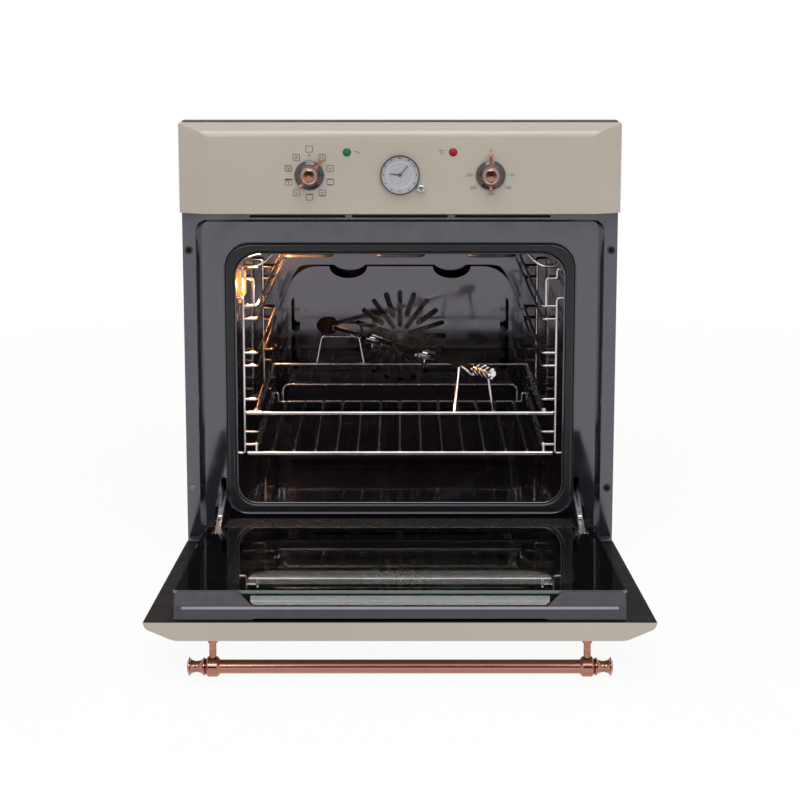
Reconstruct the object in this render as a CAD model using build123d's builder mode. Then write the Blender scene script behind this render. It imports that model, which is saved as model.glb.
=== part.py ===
from build123d import *
import os
from math import asin, cos, radians, sin, tan

os.makedirs("parts", exist_ok=True)

# A built-in electric oven, in millimetres. X runs to the right, Y to the back, Z up.
# Y = 0 is the plane where the front flange meets the cabinet, Z = 0 is the underside
# of the casing, and X = 0 is the middle. The door stands open, as the rest position.

# Sizes that drive the rest
FRONT_W = 595.0          # width of the front frame, panel and door
FRONT_H = 595.0          # height from the underside to the top of the panel's bracket
FRONT_OUT = 50.0         # from the cabinet's front to the faces of panel and door
CASING_D = 546.0         # depth of the casing behind the cabinet's front
PANEL_H = 121.3          # height of the panel's pressed face
PANEL_TOP_GAP = 1.2      # the bracket stands this much above the pressed face
DOOR_GAP = 3.0           # between the closed door and the panel
SHEET = 1.2              # enamelled steel of the front pieces
CASING_SHEET = 0.8       # zinc-plated steel of the casing
CAVITY_SHEET = 1.0       # enamelled steel of the cavity
MOVING_GAP = 0.4         # between pieces that pass each other
BORE_GAP = 0.05          # radial play of a turning pin or shaft

PANEL_LOW = FRONT_H - PANEL_TOP_GAP - PANEL_H
PANEL_TOP = FRONT_H - PANEL_TOP_GAP
DOOR_H = PANEL_LOW - DOOR_GAP

# Casing behind the flange
CASING_W = FRONT_W - 40.0
CASING_H = FRONT_H - 47.0
CASING_X = CASING_W / 2
CASING_FOLD = 14.0       # folds at the edges of the side panels

# Recess of the front frame, its gasket channel and the cavity mouth
RECESS_W = FRONT_W - 36.0        # at the flange
RECESS_TOP = PANEL_LOW - 13.5
RECESS_FLOOR_W = RECESS_W - 14.4 # at the bottom of the sloping step
RECESS_FLOOR_TOP = RECESS_TOP - 4.0
RECESS_R = 16.0
RECESS_FLOOR_R = 8.0
RECESS_D = 8.0
CAVITY_W = RECESS_W - 107.0
CAVITY_FLOOR = 59.0
CAVITY_TOP = RECESS_TOP - 49.0
CAVITY_D = CASING_D - 131.0      # cabinet front to the rear wall's inner face
CAVITY_TOP_R = 33.0
CAVITY_LOW_R = 27.0
MOUTH_LIP = 2.1                  # from the cavity's mouth to the gasket channel
CHANNEL_W = 13.5
CHANNEL_D = 6.0
GASKET_PROUD = 1.9               # the gasket stands this much above the recess floor
GASKET_CREST_R = 4.5
LINER_FLANGE = 12.0              # the liner's front flange, round the mouth

FRAME_BACK_Y = RECESS_D + SHEET
CHANNEL_BACK_Y = RECESS_D + CHANNEL_D + SHEET
CHANNEL_IN = CAVITY_W / 2 + MOUTH_LIP
CHANNEL_OUT = CHANNEL_IN + CHANNEL_W

# Vents and screw holes in the flange
VENT_W = 131.0
VENT_H = 3.5
VENT_Z = PANEL_LOW - 8.9
VENT_PITCH = VENT_W + 8.9
SCREW_X = FRONT_W / 2 - 8.5
SCREW_LOW_Z = 82.0
SCREW_HIGH_Z = RECESS_TOP - 42.0
BUSH_R = 4.9
SCREW_HOLE_R = 2.25

# Fan chamber in the rear wall, and its cover plate
CHAMBER_W = CAVITY_W - 58.0
CHAMBER_FLOOR = CAVITY_FLOOR + 38.0
CHAMBER_TOP = CAVITY_TOP - 72.0
CHAMBER_R = 55.0
CHAMBER_LOW_R = 20.0
CHAMBER_D = 40.0
CHAMBER_BACK_Y = CAVITY_D + CHAMBER_D
FAN_Z = (CHAMBER_FLOOR + CHAMBER_TOP) / 2 + 6.5
COVER_W = CHAMBER_W - 36.6
COVER_FLOOR = CHAMBER_FLOOR + 9.0
COVER_TOP = CHAMBER_TOP - 2.0
COVER_Y = CAVITY_D - 6.0
COVER_SHEET = 1.2
COVER_R = 48.0
COVER_LOW_R = 12.0
SLOT_COUNT = 20          # slots that fan out from the hub, long and short in turn
SLOT_SHORT_W = 8.6
SLOT_LONG_W = 7.6
SLOT_OUT_R = 74.0
SLOT_LONG_R = 14.0
SLOT_SHORT_R = 32.0
HUB_HOLE_R = 7.5
NOTCH_X = 82.0
NOTCH_R = 30.0
NOTCH_DEPTH = 19.0
SIDE_SLOT_X = COVER_W / 2 - 12.7
SIDE_SLOT_W = 14.0
SIDE_SLOT_L = 55.0
SIDE_SLOT_Z = COVER_TOP - 77.5
SIDE_SLOT_PITCH = 61.0
LOW_SLOT_L = 62.0
LOW_SLOT_W = 5.0
CORNER_SLOT_W = 11.0
CORNER_ARC_R = 38.0       # middle line of the curved slot in each upper corner
CORNER_ARC_X = COVER_W / 2 - 50.2
CORNER_ARC_Z = COVER_TOP - 44.0
COVER_SCREW_X = CHAMBER_W / 2 - 47.0
COVER_SCREW_LOW_Z = CHAMBER_FLOOR + 23.0
COVER_SCREW_HIGH_Z = CHAMBER_TOP - 76.0
SCREW_STUD_R = 4.2
SCREW_NECK_R = 2.0
SCREW_HEAD_L = 2.2

# Fans
FAN_R = 74.0
FAN_W = 26.0
FAN_BLADES = 16
FAN_HUB_R = 11.0
FAN_SHAFT_R = 4.0
FAN_COVER_GAP = 6.0
RING_ELEMENT_R = 88.0
ELEMENT_R = 3.2
MOTOR_R = 36.0
MOTOR_L = 52.0
BLOWER_L = 180.0
BLOWER_R = 24.0
BLOWER_Y = CASING_D - 246.0
BLOWER_BLADES = 20
DUCT_W = CAVITY_W - 12.0
DUCT_H = 30.0
DUCT_SHEET = 1.0

# Insulation
BLANKET = 22.0
BLANKET_BACK_Y = CHAMBER_BACK_Y + BLANKET / 2

# Racks at the cavity's sides: four pairs of rails, from the floor and from the roof
WIRE = 4.0
RACK_POST_X = CAVITY_W / 2 - 8.5
RACK_RAIL_X = RACK_POST_X - 19.5
RACK_FRONT_Y = 20.0
RACK_REAR_Y = CAVITY_D - 10.0
RAIL_GAP = 18.3
RAIL_FIRST_Z = CAVITY_FLOOR + 98.5
RAIL_SECOND_Z = CAVITY_FLOOR + 145.0
RAIL_TOP_Z = CAVITY_TOP - 74.0
RAIL_THIRD_Z = (RAIL_SECOND_Z + RAIL_TOP_Z) / 2
RACK_LOW_Z = RAIL_FIRST_Z - RAIL_GAP - 12.2
RACK_HIGH_Z = RAIL_TOP_Z + 11.5
RAIL_BEND = 6.0
HANGER_X = RACK_RAIL_X + 4.5
HANGER_Z = CAVITY_TOP - 35.0
HANGER_TOP_Z = CAVITY_TOP - 22.0

# Wire shelf on the lowest rails
SHELF_BAR = 6.0
SHELF_BAR_Z = RAIL_FIRST_Z - RAIL_GAP - 10.2
SHELF_FRONT_Y = 11.0
SHELF_REAR_Y = CAVITY_D - 65.0
SHELF_GRID_COUNT = 13
SHELF_GRID_WIRE = 3.8
SHELF_RUNNER_X = RACK_RAIL_X + 2.5
SHELF_LINK_X = RACK_RAIL_X - 6.5
SHELF_RIM_X = RACK_RAIL_X - 14.0
SHELF_GRID_PITCH = (2 * SHELF_RIM_X - 12.8) / (SHELF_GRID_COUNT - 1)
SHELF_RIM_Z = SHELF_BAR_Z + 28.0
SHELF_RIM_R = 10.0
SHELF_BAR_HALF = CAVITY_W / 2 - 13.0
WELD = 0.3               # crossing wires sink this far into each other

# Spit frame on the second rails, and the spit across it
FRAME_BAR = 5.5
FRAME_FRONT_Y = 11.0
FRAME_REAR_Y = CAVITY_D - 70.0
SPIT_Z = RAIL_SECOND_Z + 37.0
SPIT_R = 4.0
SOCKET_X = 114.0 - CAVITY_W / 2
SOCKET_Y = COVER_Y - 7.0
SPIT_TURN = 32.0         # the spit's angle from the depth direction, in plan
SPIT_FRONT_Y = 52.6      # where the rod meets its handle
SPIT_L = (SOCKET_Y - SPIT_FRONT_Y) / cos(radians(SPIT_TURN))
SPIT_TIP_ANGLE = 40.0    # half angle of the square tip
SPIT_TIP_L = 12.0
SOCKET_R = 12.5
SOCKET_L = 20.0
SOCKET_SHAFT_R = 4.0
SOCKET_SHAFT_L = 104.0
SPIT_NOSE_R = 10.0
SPIT_MOTOR_R = 20.0
CRADLE_Y = SPIT_FRONT_Y + 5.4
CRADLE_HALF = 19.0
CRADLE_FOOT = 27.0
CRADLE_DIP_Z = SPIT_Z - 10.4
CRADLE_TIP_Z = SPIT_Z + 5.0
FORK_PLACES = [131.0, 279.0]
FORK_COLLAR_R = 8.0
FORK_COLLAR_L = 12.0
TINE_R = 2.0
TINE_OUT = 15.0
TINE_L = 52.0
SCREW_STEM_L = 7.0
SCREW_RING_R = 6.0
HANDLE_BEADS = 4
BEAD_R = 8.4
BEAD_L = 11.0
SPIT_DIR = Vector(sin(radians(SPIT_TURN)), -cos(radians(SPIT_TURN)), 0)
SPIT_START = Vector(SOCKET_X, SOCKET_Y, SPIT_Z)

# Controls
KNOB_X = 121.0
KNOB_Z = PANEL_LOW + 51.9
KNOB_SKIRT_R = 19.6
KNOB_SKIRT_L = 8.0
KNOB_TOP_R = 14.6        # flat top of the skirt
KNOB_RING_R = 13.4
KNOB_RING_L = 6.5
KNOB_GROOVE_R = 11.4     # outer edge of the groove between ring and cap
KNOB_GROOVE_D = 1.6
KNOB_CAP_R = 8.8
KNOB_FACE_GAP = 0.6
POINTER_R = 2.3
POINTER_BALL_R = 2.9
POINTER_HEAD = 27.0
POINTER_TAIL = 18.0
SELECTOR_REST = 39.0     # pointer's angle from upright, clockwise
CONTROL_SHAFT_R = 3.0
SWITCH_W = 42.0
SWITCH_D = 34.0
CLOCK_Z = PANEL_LOW + 52.5
CLOCK_R = 25.2
CLOCK_BEZEL = 1.0
CLOCK_DIAL_Y = 1.0       # the dial lies this far in front of the panel
CLOCK_D = 40.0
CLOCK_GLASS = 1.0
DIAL_T = 0.8
ARBOR_R = 1.5
CLOCK_GLASS_GAP = 4.4
MINUTE_HAND_L = 16.5
HOUR_HAND_L = 13.5
MINUTE_ANGLE = 40.0
HOUR_ANGLE = -85.0
CLOCK_KNOB_X = 27.9
CLOCK_KNOB_Z = CLOCK_Z - 17.7
CLOCK_KNOB_R = 5.4
CLOCK_KNOB_L = 9.0
LAMP_X = 70.8
LAMP_Z = PANEL_LOW + 82.5
LAMP_R = 5.4
LAMP_RIM = 0.8
LAMP_DOME = 2.0
LAMP_STEM_R = 4.1

# Pressed skins of panel and door
SKIN_D = 21.5
SKIN_LEAN = 2.7          # the narrow side flange leans in by this much
SKIN_FLANGE = 7.5
SKIN_BEVEL = 35.5
SKIN_RIM_R = 8.0         # bend between the side flange and the bevel
SKIN_FACE_R = 30.0       # bend between the bevel and the face
SKIN_RETURN = 11.0       # the rim turns in by this much
PANEL_BEVEL = 13.0
PANEL_RIM_R = 4.0
PANEL_FACE_R = 11.0
PANEL_CORNER_R = 4.5     # of the panel's upper corners, seen from the front
RIM_Y = -(FRONT_OUT - SKIN_D)

# Door
DOOR_OPEN = 85.2         # degrees from closed
PIVOT_Y = -26.6
PIVOT_Z = 11.5
PIN_R = 3.0
STRUT_PIN_R = 2.0
BOSS_R = 6.0
GLASS = 4.0
DOOR_DEPTH = 55.5        # from the door's face to the inner glass's inner face
FACE_OUT = FRONT_OUT + PIVOT_Y
RIM_OUT = FACE_OUT - SKIN_D
INNER_OUT = FACE_OUT - DOOR_DEPTH
DOOR_LOW = -PIVOT_Z
DOOR_TOP = DOOR_H - PIVOT_Z
TUB_W = FRONT_W - 71.0
TUB_FLOOR = 3.0          # from the door's bottom edge to the tub's lower wall
INNER_GLASS_W = TUB_W + 4.0
INNER_GLASS_LOW = 60.0
INNER_GLASS_TOP = DOOR_TOP - 18.0
GLASS_CORNER_R = 6.0
TUB_WINDOW_W = TUB_W - 104.0
TUB_WINDOW_LOW = INNER_GLASS_LOW + 32.0
TUB_WINDOW_TOP = INNER_GLASS_TOP - 35.0
AIR_SLOT_W = TUB_W - 176.0
AIR_SLOT_OUT = 10.0      # from the rim to the slot between the glass and the moulding
MIDDLE_GLASS_W = TUB_W - 54.0
MIDDLE_GLASS_IN = 12.0   # from the rim to the middle glass
OUTER_WINDOW_W = TUB_W - 132.0
OUTER_WINDOW_LOW = 125.0
OUTER_WINDOW_TOP = DOOR_TOP - 138.0
OUTER_WINDOW_R = 30.0
OUTER_WINDOW_LAP = 12.0

# Hinges and struts
HINGE_X = FRONT_W / 2 - 50.9
ARM_T = 3.0
ARM_LOW_Z = 3.0
ARM_TOP_Z = 17.5
CHEEK_T = 1.6
CHEEK_X = 5.7            # inner side of a door cheek, from the hinge's middle
CHEEK_TOP = 100.0
HINGE_SLOT_W = 8.4
HINGE_CASE_D = 118.0
HINGE_WALL_H = 108.0
STRUT_W = 7.0
STRUT_H = 9.0
STRUT_L = 122.0
STRUT_SHEET = 1.2
STRUT_HEIGHT = 76.1      # strut pin's place up the door from the hinge pin
STRUT_INSET = 24.0       # and towards the cavity
STRUT_REST_ANGLE = 15.86
STRUT_SLOT_LOW = 62.0
STRUT_SLOT_TOP = 95.0
LATCH_PLACE = 58.0
LATCH_L = 26.0
LATCH_H = 5.6
LATCH_RISE = 0.2

# Trims of the door: tongue between the hinges, its corners, and the moulding at the top
TONGUE_LOW = -4.0
TONGUE_W = 2 * HINGE_X - 15.2
LOW_CORNER_W = 9.5
MOULDING_W = TUB_W
MOULDING_BAND_W = 74.0   # of an end band at the glass
MOULDING_RAMP = 18.0     # its inner end slopes out to be this much longer at the front
MOULDING_FRONT = DOOR_TOP - 3.0

# Handle
HANDLE_R = 8.2
HANDLE_STAND = 39.7      # door face to the bar's axis
HANDLE_HEIGHT = DOOR_TOP - 36.5
HANDLE_SPAN = FRONT_W - 155.0
HANDLE_W = FRONT_W - 95.0
POST_R = 4.3
POST_COLLAR_R = 5.9
POST_COLLAR_L = 11.0
BOSS_L = 17.0
HANDLE_BOSS_R = 12.0

# Upper element, lamp, mains box
GRILL_Z = CAVITY_TOP - 18.0
GRILL_W = CAVITY_W - 122.0
GRILL_FRONT_Y = 130.0
GRILL_LOOPS = 3
GRILL_CLIP_Y = 185.0
LOW_ELEMENT_GAP = 8.0    # from the cavity's floor to the lower element's middle
OVEN_LAMP_Y = 92.0
OVEN_LAMP_Z = CAVITY_TOP - 55.0
OVEN_LAMP_W = 62.0
OVEN_LAMP_H = 36.0
LAMP_BOX_D = 24.0
TERMINAL_X = 170.0
TERMINAL_Z = CASING_H - 68.0
TERMINAL_W = 80.0
TERMINAL_H = 46.0
TERMINAL_D = 22.0
GLAND_R = 9.0
GLAND_L = 14.0

OPEN = radians(DOOR_OPEN)
DOOR = Plane(
    origin=(0, PIVOT_Y, PIVOT_Z), x_dir=(1, 0, 0), z_dir=(0, -cos(OPEN), -sin(OPEN))
)
PANEL = Plane(origin=(0, 0, 0), x_dir=(1, 0, 0), z_dir=(0, -1, 0))


def save(piece, name):
    """Write one finished piece under its name."""
    piece.part.label = name
    export_step(piece.part, f"parts/{name}.step")


def across(y):
    """Plane across the oven at depth y: local x is X, local y is Z, normal to the front."""
    return PANEL.offset(-y)


def side_on(x):
    """Plane at x seen from the right: local x is Y, local y is Z, normal to +X."""
    return Plane(origin=(x, 0, 0), x_dir=(0, 1, 0), z_dir=(1, 0, 0))


def door_side(x):
    """Plane at x that turns with the door: local x runs up the door, local y outward."""
    return Plane(origin=DOOR.from_local_coords(Vector(x, 0, 0)), x_dir=DOOR.y_dir, z_dir=DOOR.x_dir)


def spit_plane(place):
    """Plane square to the spit, at a distance from the socket's face."""
    return Plane(origin=SPIT_START + SPIT_DIR * place, x_dir=(0, 0, 1), z_dir=SPIT_DIR)


def arch(half_w, low, top, low_r, top_r):
    """Rectangle with its own radii at the bottom and top corners."""
    with BuildSketch(Plane.XY, mode=Mode.PRIVATE) as outline:
        with Locations((0, (low + top) / 2)):
            Rectangle(2 * half_w, top - low)
        corners = outline.vertices().sort_by(Axis.Y)
        if top_r:
            fillet(corners[2:], top_r)
        if low_r:
            fillet(outline.vertices().group_by(Axis.Y)[0], low_r)
    return outline.sketch


def block(x0, x1, y0, y1, z0, z1):
    """Plain block between two corners."""
    middle = Pos((x0 + x1) / 2, (y0 + y1) / 2, (z0 + z1) / 2)
    return middle * Box(x1 - x0, y1 - y0, z1 - z0, mode=Mode.PRIVATE)


def rod(start, end, radius):
    """Round bar between two points."""
    start, end = Vector(start), Vector(end)
    return Solid.make_cylinder(radius, (end - start).length, Plane(origin=start, z_dir=end - start))


def bent_wire(points, diameter, bends):
    """Round wire along straight runs joined by arcs."""
    with BuildPart(mode=Mode.PRIVATE) as wire:
        with BuildLine() as route:
            FilletPolyline(*points, radius=bends)
        with BuildSketch(Plane(origin=route.line @ 0, z_dir=route.line % 0)):
            Circle(diameter / 2)
        sweep(path=route.line)
    return wire.part


def skin_edge(edge, inward, bevel, inset):
    """Points (place, out) from the rim up to the face at one edge of a pressed skin."""
    if bevel == 0:
        return [(edge + inward * inset, 0), (edge + inward * inset, SKIN_D - inset)]
    return [
        (edge + inward * inset, 0),
        (edge + inward * (SKIN_LEAN + inset), SKIN_FLANGE - inset / 2),
        (edge + inward * bevel, SKIN_D - inset),
    ]


def pressed_block(cross, side, half_w, low, top, low_bevel, top_bevel, inset):
    """Solid under a pressed skin: the side profile carried up it, cut by the end profile."""
    left = skin_edge(-half_w, 1, SKIN_BEVEL, inset)
    right = skin_edge(half_w, -1, SKIN_BEVEL, inset)
    bottom = skin_edge(low, 1, low_bevel, inset)
    upper = skin_edge(top, -1, top_bevel, inset)
    soft = {0: 0.0, SKIN_BEVEL: SKIN_FACE_R, PANEL_BEVEL: PANEL_FACE_R}
    flange = {0: 0.0, SKIN_BEVEL: SKIN_RIM_R, PANEL_BEVEL: PANEL_RIM_R}
    with BuildPart(mode=Mode.PRIVATE) as under:
        with BuildSketch(cross):
            with BuildLine():
                radii = [SKIN_RIM_R, SKIN_FACE_R, SKIN_FACE_R, SKIN_RIM_R]
                FilletPolyline(*left, *reversed(right), radius=radii)
                Line(right[0], left[0])
            make_face()
        extrude(amount=-(top - low) - 1)
        with BuildSketch(side):
            with BuildLine():
                radii = [flange[low_bevel], soft[low_bevel]] if low_bevel else [0.0]
                radii += [soft[top_bevel], flange[top_bevel]] if top_bevel else [0.0]
                FilletPolyline(*bottom, *reversed(upper), radius=radii)
                Line(upper[0], bottom[0])
            make_face()
        extrude(amount=2 * half_w, both=True, mode=Mode.INTERSECT)
    return under.part


# Front frame: one enamelled pressing with its recess, gasket channel and cavity mouth
mouth = arch(CAVITY_W / 2, CAVITY_FLOOR, CAVITY_TOP, CAVITY_LOW_R, CAVITY_TOP_R)
channel_in = arch(
    CHANNEL_IN, CAVITY_FLOOR - MOUTH_LIP, CAVITY_TOP + MOUTH_LIP,
    CAVITY_LOW_R + MOUTH_LIP, CAVITY_TOP_R + MOUTH_LIP,
)
channel_out = arch(
    CHANNEL_OUT, CAVITY_FLOOR - MOUTH_LIP - CHANNEL_W, CAVITY_TOP + MOUTH_LIP + CHANNEL_W,
    CAVITY_LOW_R + MOUTH_LIP, CAVITY_TOP_R + MOUTH_LIP,
)
channel_wall = arch(
    CHANNEL_OUT + SHEET, CAVITY_FLOOR - MOUTH_LIP - CHANNEL_W - SHEET,
    CAVITY_TOP + MOUTH_LIP + CHANNEL_W + SHEET, CAVITY_LOW_R + MOUTH_LIP, CAVITY_TOP_R + MOUTH_LIP,
)


def recess_pan(front_y):
    """Tapered block of the recess, open at the bottom, from front_y to the recess's depth."""
    step = RECESS_D + SHEET
    with BuildPart(mode=Mode.PRIVATE) as pan:
        with BuildSketch(across(front_y)):
            add(arch(RECESS_W / 2, -SHEET, RECESS_TOP, 0, RECESS_R))
        with BuildSketch(across(front_y + step)):
            add(arch(RECESS_FLOOR_W / 2, -SHEET, RECESS_FLOOR_TOP, 0, RECESS_FLOOR_R))
        loft(ruled=True)
    return pan.part


pan_outside = recess_pan(0)
pan_inside = recess_pan(-SHEET)
below = block(-FRONT_W, FRONT_W, -FRONT_OUT, CASING_D, -FRONT_W, 0)
base_front = block(-RECESS_FLOOR_W / 2, RECESS_FLOOR_W / 2, -FRONT_OUT, CASING_D, -1, CASING_SHEET)

with BuildPart() as front_frame:
    with BuildSketch(across(0)):
        with Locations((0, PANEL_LOW / 2)):
            Rectangle(FRONT_W, PANEL_LOW)
    extrude(amount=SHEET)
    add(pan_outside)
    with BuildSketch(across(FRAME_BACK_Y)):
        add(channel_wall)
        add(mouth, mode=Mode.SUBTRACT)
    extrude(amount=-(CHANNEL_BACK_Y - FRAME_BACK_Y))
    add(pan_inside, mode=Mode.SUBTRACT)
    with BuildSketch(across(0)):
        add(mouth)
    extrude(amount=-CHANNEL_BACK_Y, both=True, mode=Mode.SUBTRACT)
    with BuildSketch(across(RECESS_D - 1)):
        add(channel_out)
        add(channel_in, mode=Mode.SUBTRACT)
    extrude(amount=-(CHANNEL_D + 1), mode=Mode.SUBTRACT)
    add([below, base_front], mode=Mode.SUBTRACT)
    with BuildSketch(across(0)):
        for side in (-1, 1):
            for height in (SCREW_LOW_Z, SCREW_HIGH_Z):
                with Locations((side * SCREW_X, height)):
                    Circle(BUSH_R)
        for place in (-1, 0, 1):
            with Locations((place * VENT_PITCH, VENT_Z)):
                SlotOverall(VENT_W, VENT_H)
    extrude(amount=SHEET * 2, both=True, mode=Mode.SUBTRACT)
    with BuildSketch(across(0)):
        for side in (-1, 1):
            with Locations((side * HINGE_X, (STRUT_SLOT_LOW + STRUT_SLOT_TOP) / 2)):
                SlotOverall(STRUT_SLOT_TOP - STRUT_SLOT_LOW, HINGE_SLOT_W, rotation=90)
            with Locations((side * HINGE_X, (ARM_LOW_Z + ARM_TOP_Z) / 2)):
                Rectangle(ARM_T + 2 * MOVING_GAP, ARM_TOP_Z + ARM_LOW_Z)
    extrude(amount=-CHANNEL_BACK_Y - 1, mode=Mode.SUBTRACT)
save(front_frame, "front_frame")

# Bushes that line the four screw holes of the flange
with BuildPart() as screw_bushes:
    for side in (-1, 1):
        for height in (SCREW_LOW_Z, SCREW_HIGH_Z):
            with BuildSketch(across(0)):
                with Locations((side * SCREW_X, height)):
                    Circle(BUSH_R)
                    Circle(SCREW_HOLE_R, mode=Mode.SUBTRACT)
            extrude(amount=SHEET)
            with BuildSketch(across(-SHEET)):
                with Locations((side * SCREW_X, height)):
                    Circle(BUSH_R + 0.6)
                    Circle(SCREW_HOLE_R + 1, mode=Mode.SUBTRACT)
            extrude(amount=0.6)
save(screw_bushes, "screw_bushes")

# Gasket: a soft bulb in the channel round the mouth
with BuildPart() as cavity_gasket:
    with BuildSketch(across(RECESS_D + CHANNEL_D)):
        add(channel_out)
        add(channel_in, mode=Mode.SUBTRACT)
    extrude(amount=CHANNEL_D + GASKET_PROUD)
    crest = cavity_gasket.faces().sort_by(Axis.Y)[0]
    fillet(crest.edges(), GASKET_CREST_R)
save(cavity_gasket, "cavity_gasket")

# Cavity: an enamelled box with the fan chamber pressed into its rear wall
lamp_low_z = OVEN_LAMP_Z - OVEN_LAMP_H / 2
lamp_window = block(
    -CAVITY_W, -CAVITY_W / 2 + 1, OVEN_LAMP_Y - OVEN_LAMP_W / 2, OVEN_LAMP_Y + OVEN_LAMP_W / 2,
    lamp_low_z, lamp_low_z + OVEN_LAMP_H,
)
fan_bore = rod((0, CAVITY_D, FAN_Z), (0, CASING_D, FAN_Z), FAN_SHAFT_R + 4)
spit_bore = rod(SPIT_START, SPIT_START - SPIT_DIR * (SOCKET_SHAFT_L + 10), SOCKET_SHAFT_R + 2)
socket_bore = rod(SPIT_START + SPIT_DIR * 6, SPIT_START - SPIT_DIR * 30, SOCKET_R + 1.5)
grill_ends = [(place * GRILL_W / 2 / GRILL_LOOPS, GRILL_Z) for place in (-1, 1)]

with BuildPart() as cavity_liner:
    with BuildSketch(across(CHANNEL_BACK_Y)):
        add(arch(CHANNEL_OUT, CAVITY_FLOOR - LINER_FLANGE, CAVITY_TOP + LINER_FLANGE, CAVITY_LOW_R,
                 CAVITY_TOP_R))
    extrude(amount=-CAVITY_SHEET)
    with BuildSketch(across(CHANNEL_BACK_Y)):
        add(offset(mouth, amount=CAVITY_SHEET, mode=Mode.PRIVATE))
    extrude(amount=-(CAVITY_D + CAVITY_SHEET - CHANNEL_BACK_Y))
    with BuildSketch(across(CAVITY_D)):
        add(arch(CHAMBER_W / 2 + CAVITY_SHEET, CHAMBER_FLOOR - CAVITY_SHEET, CHAMBER_TOP + CAVITY_SHEET,
                 CHAMBER_LOW_R, CHAMBER_R + CAVITY_SHEET))
    extrude(amount=-(CHAMBER_D + CAVITY_SHEET))
    with BuildSketch(across(0)):
        add(mouth)
    extrude(amount=-CAVITY_D, mode=Mode.SUBTRACT)
    with BuildSketch(across(CAVITY_D - 1)):
        add(arch(CHAMBER_W / 2, CHAMBER_FLOOR, CHAMBER_TOP, CHAMBER_LOW_R, CHAMBER_R))
    extrude(amount=-(CHAMBER_D + 1), mode=Mode.SUBTRACT)
    add([lamp_window, fan_bore, spit_bore], mode=Mode.SUBTRACT)
    with BuildSketch(across(CAVITY_D - 1)):
        for end in grill_ends:
            with Locations(end):
                Circle(ELEMENT_R)
    extrude(amount=-4, mode=Mode.SUBTRACT)
save(cavity_liner, "cavity_liner")

# Insulation blanket round the cavity
hinge_in = HINGE_X - 5.6
hinge_pockets = [
    block(min(side * hinge_in, side * CASING_X), max(side * hinge_in, side * CASING_X), 0,
          HINGE_CASE_D + 16, -1, HINGE_WALL_H + 2)
    for side in (-1, 1)
]
lamp_pocket = block(
    -CAVITY_W / 2 - LAMP_BOX_D - 1, -CAVITY_W / 2,
    OVEN_LAMP_Y - OVEN_LAMP_W / 2 - 1, OVEN_LAMP_Y + OVEN_LAMP_W / 2 + 1,
    lamp_low_z - 1, lamp_low_z + OVEN_LAMP_H + 1,
)
motor_legs = [
    rod((side * MOTOR_R * 1.85, CAVITY_D, FAN_Z), (side * MOTOR_R * 1.85, CASING_D, FAN_Z), 5)
    for side in (-1, 1)
]
nose_bore = rod(SPIT_START - SPIT_DIR * 40, SPIT_START - SPIT_DIR * (SOCKET_SHAFT_L + 10), SPIT_NOSE_R + 1)
with BuildPart() as insulation:
    with BuildSketch(across(CHANNEL_BACK_Y + CAVITY_SHEET)):
        add(arch(CAVITY_W / 2 + BLANKET, CAVITY_FLOOR - BLANKET, CAVITY_TOP + BLANKET, 30, 36))
    extrude(amount=-(BLANKET_BACK_Y - CHANNEL_BACK_Y - CAVITY_SHEET))
    with BuildSketch(across(0)):
        add(offset(mouth, amount=CAVITY_SHEET, mode=Mode.PRIVATE))
    extrude(amount=-(CAVITY_D + CAVITY_SHEET), mode=Mode.SUBTRACT)
    with BuildSketch(across(CAVITY_D)):
        add(arch(CHAMBER_W / 2 + CAVITY_SHEET, CHAMBER_FLOOR - CAVITY_SHEET, CHAMBER_TOP + CAVITY_SHEET,
                 CHAMBER_LOW_R, CHAMBER_R + CAVITY_SHEET))
    extrude(amount=-(CHAMBER_D + CAVITY_SHEET), mode=Mode.SUBTRACT)
    add(hinge_pockets + motor_legs + [lamp_pocket, fan_bore, nose_bore], mode=Mode.SUBTRACT)
    with BuildSketch(across(CAVITY_D - 1)):
        for end in grill_ends:
            with Locations(end):
                Circle(ELEMENT_R)
        with Locations((-GRILL_W / 2, CAVITY_FLOOR - LOW_ELEMENT_GAP),
                       (GRILL_W / 2, CAVITY_FLOOR - LOW_ELEMENT_GAP)):
            Circle(ELEMENT_R)
    extrude(amount=-CASING_D, mode=Mode.SUBTRACT)
    add(block(-GRILL_W / 2 - 8, GRILL_W / 2 + 8, 50, CHAMBER_BACK_Y, CAVITY_FLOOR - 13, CAVITY_FLOOR - 1),
        mode=Mode.SUBTRACT)
save(insulation, "insulation")

# Casing: two side panels, base, top cover and rear panel
with BuildPart() as side_panels:
    with BuildSketch(Plane.XY.offset(CASING_SHEET)):
        for side in (-1, 1):
            wall = side * (CASING_X - CASING_SHEET / 2)
            with Locations((wall, (FRAME_BACK_Y + CASING_D) / 2)):
                Rectangle(CASING_SHEET, CASING_D - FRAME_BACK_Y)
            fold = side * (CASING_X - CASING_FOLD / 2)
            for depth in (FRAME_BACK_Y + CASING_SHEET / 2, CASING_D - CASING_SHEET / 2):
                with Locations((fold, depth)):
                    Rectangle(CASING_FOLD, CASING_SHEET)
    extrude(amount=CASING_H - 2 * CASING_SHEET)
save(side_panels, "side_panels")

with BuildPart() as base_panel:
    with BuildSketch(Plane.XY):
        with Locations((0, (FRAME_BACK_Y + CASING_D) / 2)):
            Rectangle(CASING_W, CASING_D - FRAME_BACK_Y)
        with Locations((0, (FRAME_BACK_Y - SHEET) / 2)):
            Rectangle(RECESS_FLOOR_W, FRAME_BACK_Y + SHEET)
    extrude(amount=CASING_SHEET)
    with BuildSketch(Plane.XY):
        with Locations((0, CASING_D * 0.6)):
            with GridLocations(60, 24, 5, 4):
                SlotOverall(34, 5)
    extrude(amount=CASING_SHEET, mode=Mode.SUBTRACT)
save(base_panel, "base_panel")

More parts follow.
